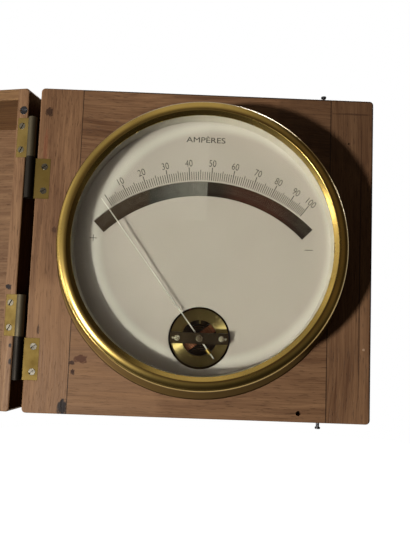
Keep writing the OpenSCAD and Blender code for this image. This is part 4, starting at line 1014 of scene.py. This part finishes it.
class BuildStage(bpy.types.Operator):
    """Camera, lamps, pale floor and the room that the metal reflects"""
    bl_idname = "ammeter.build_stage"
    bl_label = "Stage"

    def execute(self, context):
        self.camera()
        self.lamp("key_lamp", at=(-1.0, -1.45, -0.5), watts=28.5, size=0.12, colour="#fffaf2")
        self.lamp("back_lamp", at=(0.7, 1.5, 0.9), watts=40.0, size=1.2, colour="#ffffff")
        self.room()
        self.floor()
        self.card()
        bpy.context.scene.view_settings.view_transform = "Standard"
        return {"FINISHED"}

    def camera(self):
        data = bpy.data.cameras.new("view")
        data.sensor_fit = "VERTICAL"
        data.sensor_height = 36.0
        data.lens = data.sensor_height * FOCAL_LENGTH / FRAME_HIGH
        data.clip_start = 0.01
        view = linked("view", data)
        turn = Matrix((VIEW_RIGHT, VIEW_UP, -VIEW_AHEAD)).transposed()
        view.matrix_world = Matrix.Translation(VIEW_PLACE) @ turn.to_4x4()
        bpy.context.scene.camera = view

    def lamp(self, name, at, watts, size, colour):
        """A round lamp that points at the middle of the part."""
        data = bpy.data.lights.new(name, "AREA")
        data.shape = "DISK"
        data.size = size
        data.energy = watts
        data.color = linear(colour)
        lamp = linked(name, data)
        lamp.location = at
        lamp.rotation_euler = (-Vector(at)).to_track_quat("-Z", "Y").to_euler()

    def room(self):
        """White behind for the camera; in front a dark brown room, its left wall and ceiling lit."""
        world = bpy.data.worlds.new("room")
        bpy.context.scene.world = world
        world.use_nodes = True
        world.node_tree.nodes.clear()
        put = partial(add, world.node_tree)
        way = put("TexCoord").outputs["Generated"]
        axes = put("SeparateXYZ", {0: way}).outputs
        inside = opaque(ROOM_DARK)
        for tone, spans in ROOM_TONES:
            share = 0.0
            for joined, axis, start, full in spans:
                span = put("MapRange", {0: axes[axis], 1: start, 2: full}, **SOFT)
                share = put("Math", {0: share, 1: span}, operation=joined)
            inside = put("Mix", {0: share, 6: inside, 7: opaque(tone)}, **COLOUR)
        aim = put("VectorMath", {0: way, 1: WINDOW_WAY}, operation="DOT_PRODUCT")
        window = put("MapRange", {0: aim, 1: WINDOW_RIM[0], 2: WINDOW_RIM[1]})
        inside = put("Mix", {0: window, 6: inside, 7: opaque(WINDOW_TONE)}, **COLOUR)
        behind = put("MapRange", {0: axes["Y"], 1: 0.2, 2: 0.45}, **SOFT)
        shown = put("Mix", {0: behind, 6: inside, 7: opaque(ROOM_BEHIND)}, **COLOUR)
        dim = put("Mix", {0: 1.0, 6: inside, 7: opaque(ROOM_SHARE)}, **COLOUR, blend_type="MULTIPLY")
        ray = put("LightPath").outputs
        bent = put("Math", {0: ray["Is Glossy Ray"], 1: ray["Is Transmission Ray"]}, operation="MAXIMUM")
        # A ray that has met a matt surface is light on the part, and gets no white background
        sees = put("Math", {0: bent, 1: ray["Diffuse Depth"]}, operation="SUBTRACT", use_clamp=True)
        fill = put("Mix", {0: sees, 6: dim, 7: shown}, **COLOUR)
        seen = put("Mix", {0: ray["Is Camera Ray"], 6: fill, 7: (1, 1, 1, 1)}, **COLOUR)
        light = put("Background", {"Color": seen, "Strength": 1.0})
        put("OutputWorld", {"Surface": light})

    def floor(self):
        """Pale plaster floor well below, white to the camera away from the part's shadow."""
        ground = new_piece("floor", bpy.ops.mesh.primitive_circle_add, vertices=96, radius=6.0,
                           fill_type="NGON", location=(0, 0, -1.3))
        made, put, place = new_material("pale_plaster_floor")
        reach = put("VectorMath", {0: place}, operation="LENGTH")
        far = put("MapRange", {0: reach, 1: 0.2, 2: 0.8, 3: 0.62, 4: 1.0}, **SOFT)
        ray = put("LightPath").outputs
        strength = put("Math", {0: far, 1: ray["Is Camera Ray"]}, operation="MULTIPLY")
        grit = put("TexNoise", {"Vector": place, "Scale": 1 / 0.02, "Detail": 3.0})
        pale = put("Mix", {0: grit, 6: opaque("#e6e4df"), 7: opaque("#f0efec")}, **COLOUR)
        # The brass mirrors a floor that is dark close in front, dim further off and pale behind
        tone = put("Mix", {0: ray["Is Camera Ray"], 6: opaque("#1d1611"), 7: pale}, **COLOUR)
        depth = put("SeparateXYZ", {0: place}).outputs["Y"]
        back = put("MapRange", {0: depth, 1: 0.3, 2: 0.7, 3: 0.01, 4: 0.8})
        ahead = put("MapRange", {0: depth, 1: -1.4, 2: -3.0, 3: 0.0, 4: 0.11})
        laid = put("Math", {0: back, 1: ahead}, operation="ADD")
        mirrored = put("Math", {0: laid, 1: ray["Is Glossy Ray"]}, operation="MULTIPLY")
        given = put("Math", {0: strength, 1: mirrored}, operation="ADD")
        glow = put("Mix", {0: ray["Is Camera Ray"], 6: (1, 0.9, 0.75, 1), 7: (1, 1, 1, 1)}, **COLOUR)
        shader = put("BsdfPrincipled", {"Base Color": tone, "Roughness": 0.9, "Emission Color": glow,
                                        "Emission Strength": given})
        put("OutputMaterial", {"Surface": shader})
        ground.data.materials.append(made)

    def card(self):
        """A grey card above the camera, which lightens the left middle of the dial's mirror."""
        card = new_piece("reflector_card", bpy.ops.mesh.primitive_plane_add, size=1)
        wide, tall = 0.064, 0.12
        card.matrix_world = (Matrix.Translation((-0.028, -0.36, 0.125)) @ Matrix.Rotation(math.pi / 2, 4, "X")
                             @ Matrix.Diagonal((wide, tall, 1, 1)))
        made, put, place = new_material("grey_card")
        across = put("SeparateXYZ", {0: place}).outputs["X"]
        fade = put("MapRange", {0: across, 1: -0.5, 2: 0.3, 3: 0.05, 4: 0.25})
        glow = put("Emission", {"Color": (1, 0.94, 0.84, 1), "Strength": fade})
        put("OutputMaterial", {"Surface": glow})
        card.data.materials.append(made)
        for flag in ("visible_camera", "visible_shadow", "visible_diffuse"):
            setattr(card, flag, False)


BUILDERS = (BuildStage, BuildCase, BuildLid, BuildHinges, BuildLatches, BuildDrum, BuildBezel, BuildPane,
            BuildDial, BuildPrint, BuildMovement, BuildNeedle, BuildTerminals)


class AmmeterPanel(bpy.types.Panel):
    """Lists the ammeter's pieces in the 3D view's sidebar"""
    bl_idname = "VIEW3D_PT_ammeter"
    bl_label = "Ammeter"
    bl_space_type = "VIEW_3D"
    bl_region_type = "UI"
    bl_category = "Ammeter"

    def draw(self, context):
        for builder in BUILDERS:
            self.layout.operator(builder.bl_idname)
        for group in (context.scene.ammeter_sizes, context.scene.ammeter_colours):
            for name in group.__annotations__:
                self.layout.prop(group, name)


CLASSES = (AmmeterSizes, AmmeterColours, *BUILDERS, AmmeterPanel)


def register():
    for kind in CLASSES:
        bpy.utils.register_class(kind)
    bpy.types.Scene.ammeter_sizes = bpy.props.PointerProperty(type=AmmeterSizes)
    bpy.types.Scene.ammeter_colours = bpy.props.PointerProperty(type=AmmeterColours)


def unregister():
    del bpy.types.Scene.ammeter_colours
    del bpy.types.Scene.ammeter_sizes
    for kind in reversed(CLASSES):
        bpy.utils.unregister_class(kind)


def main():
    register()
    for builder in BUILDERS:
        group, call = builder.bl_idname.split(".")
        getattr(getattr(bpy.ops, group), call)()


if __name__ == "__main__":
    main()
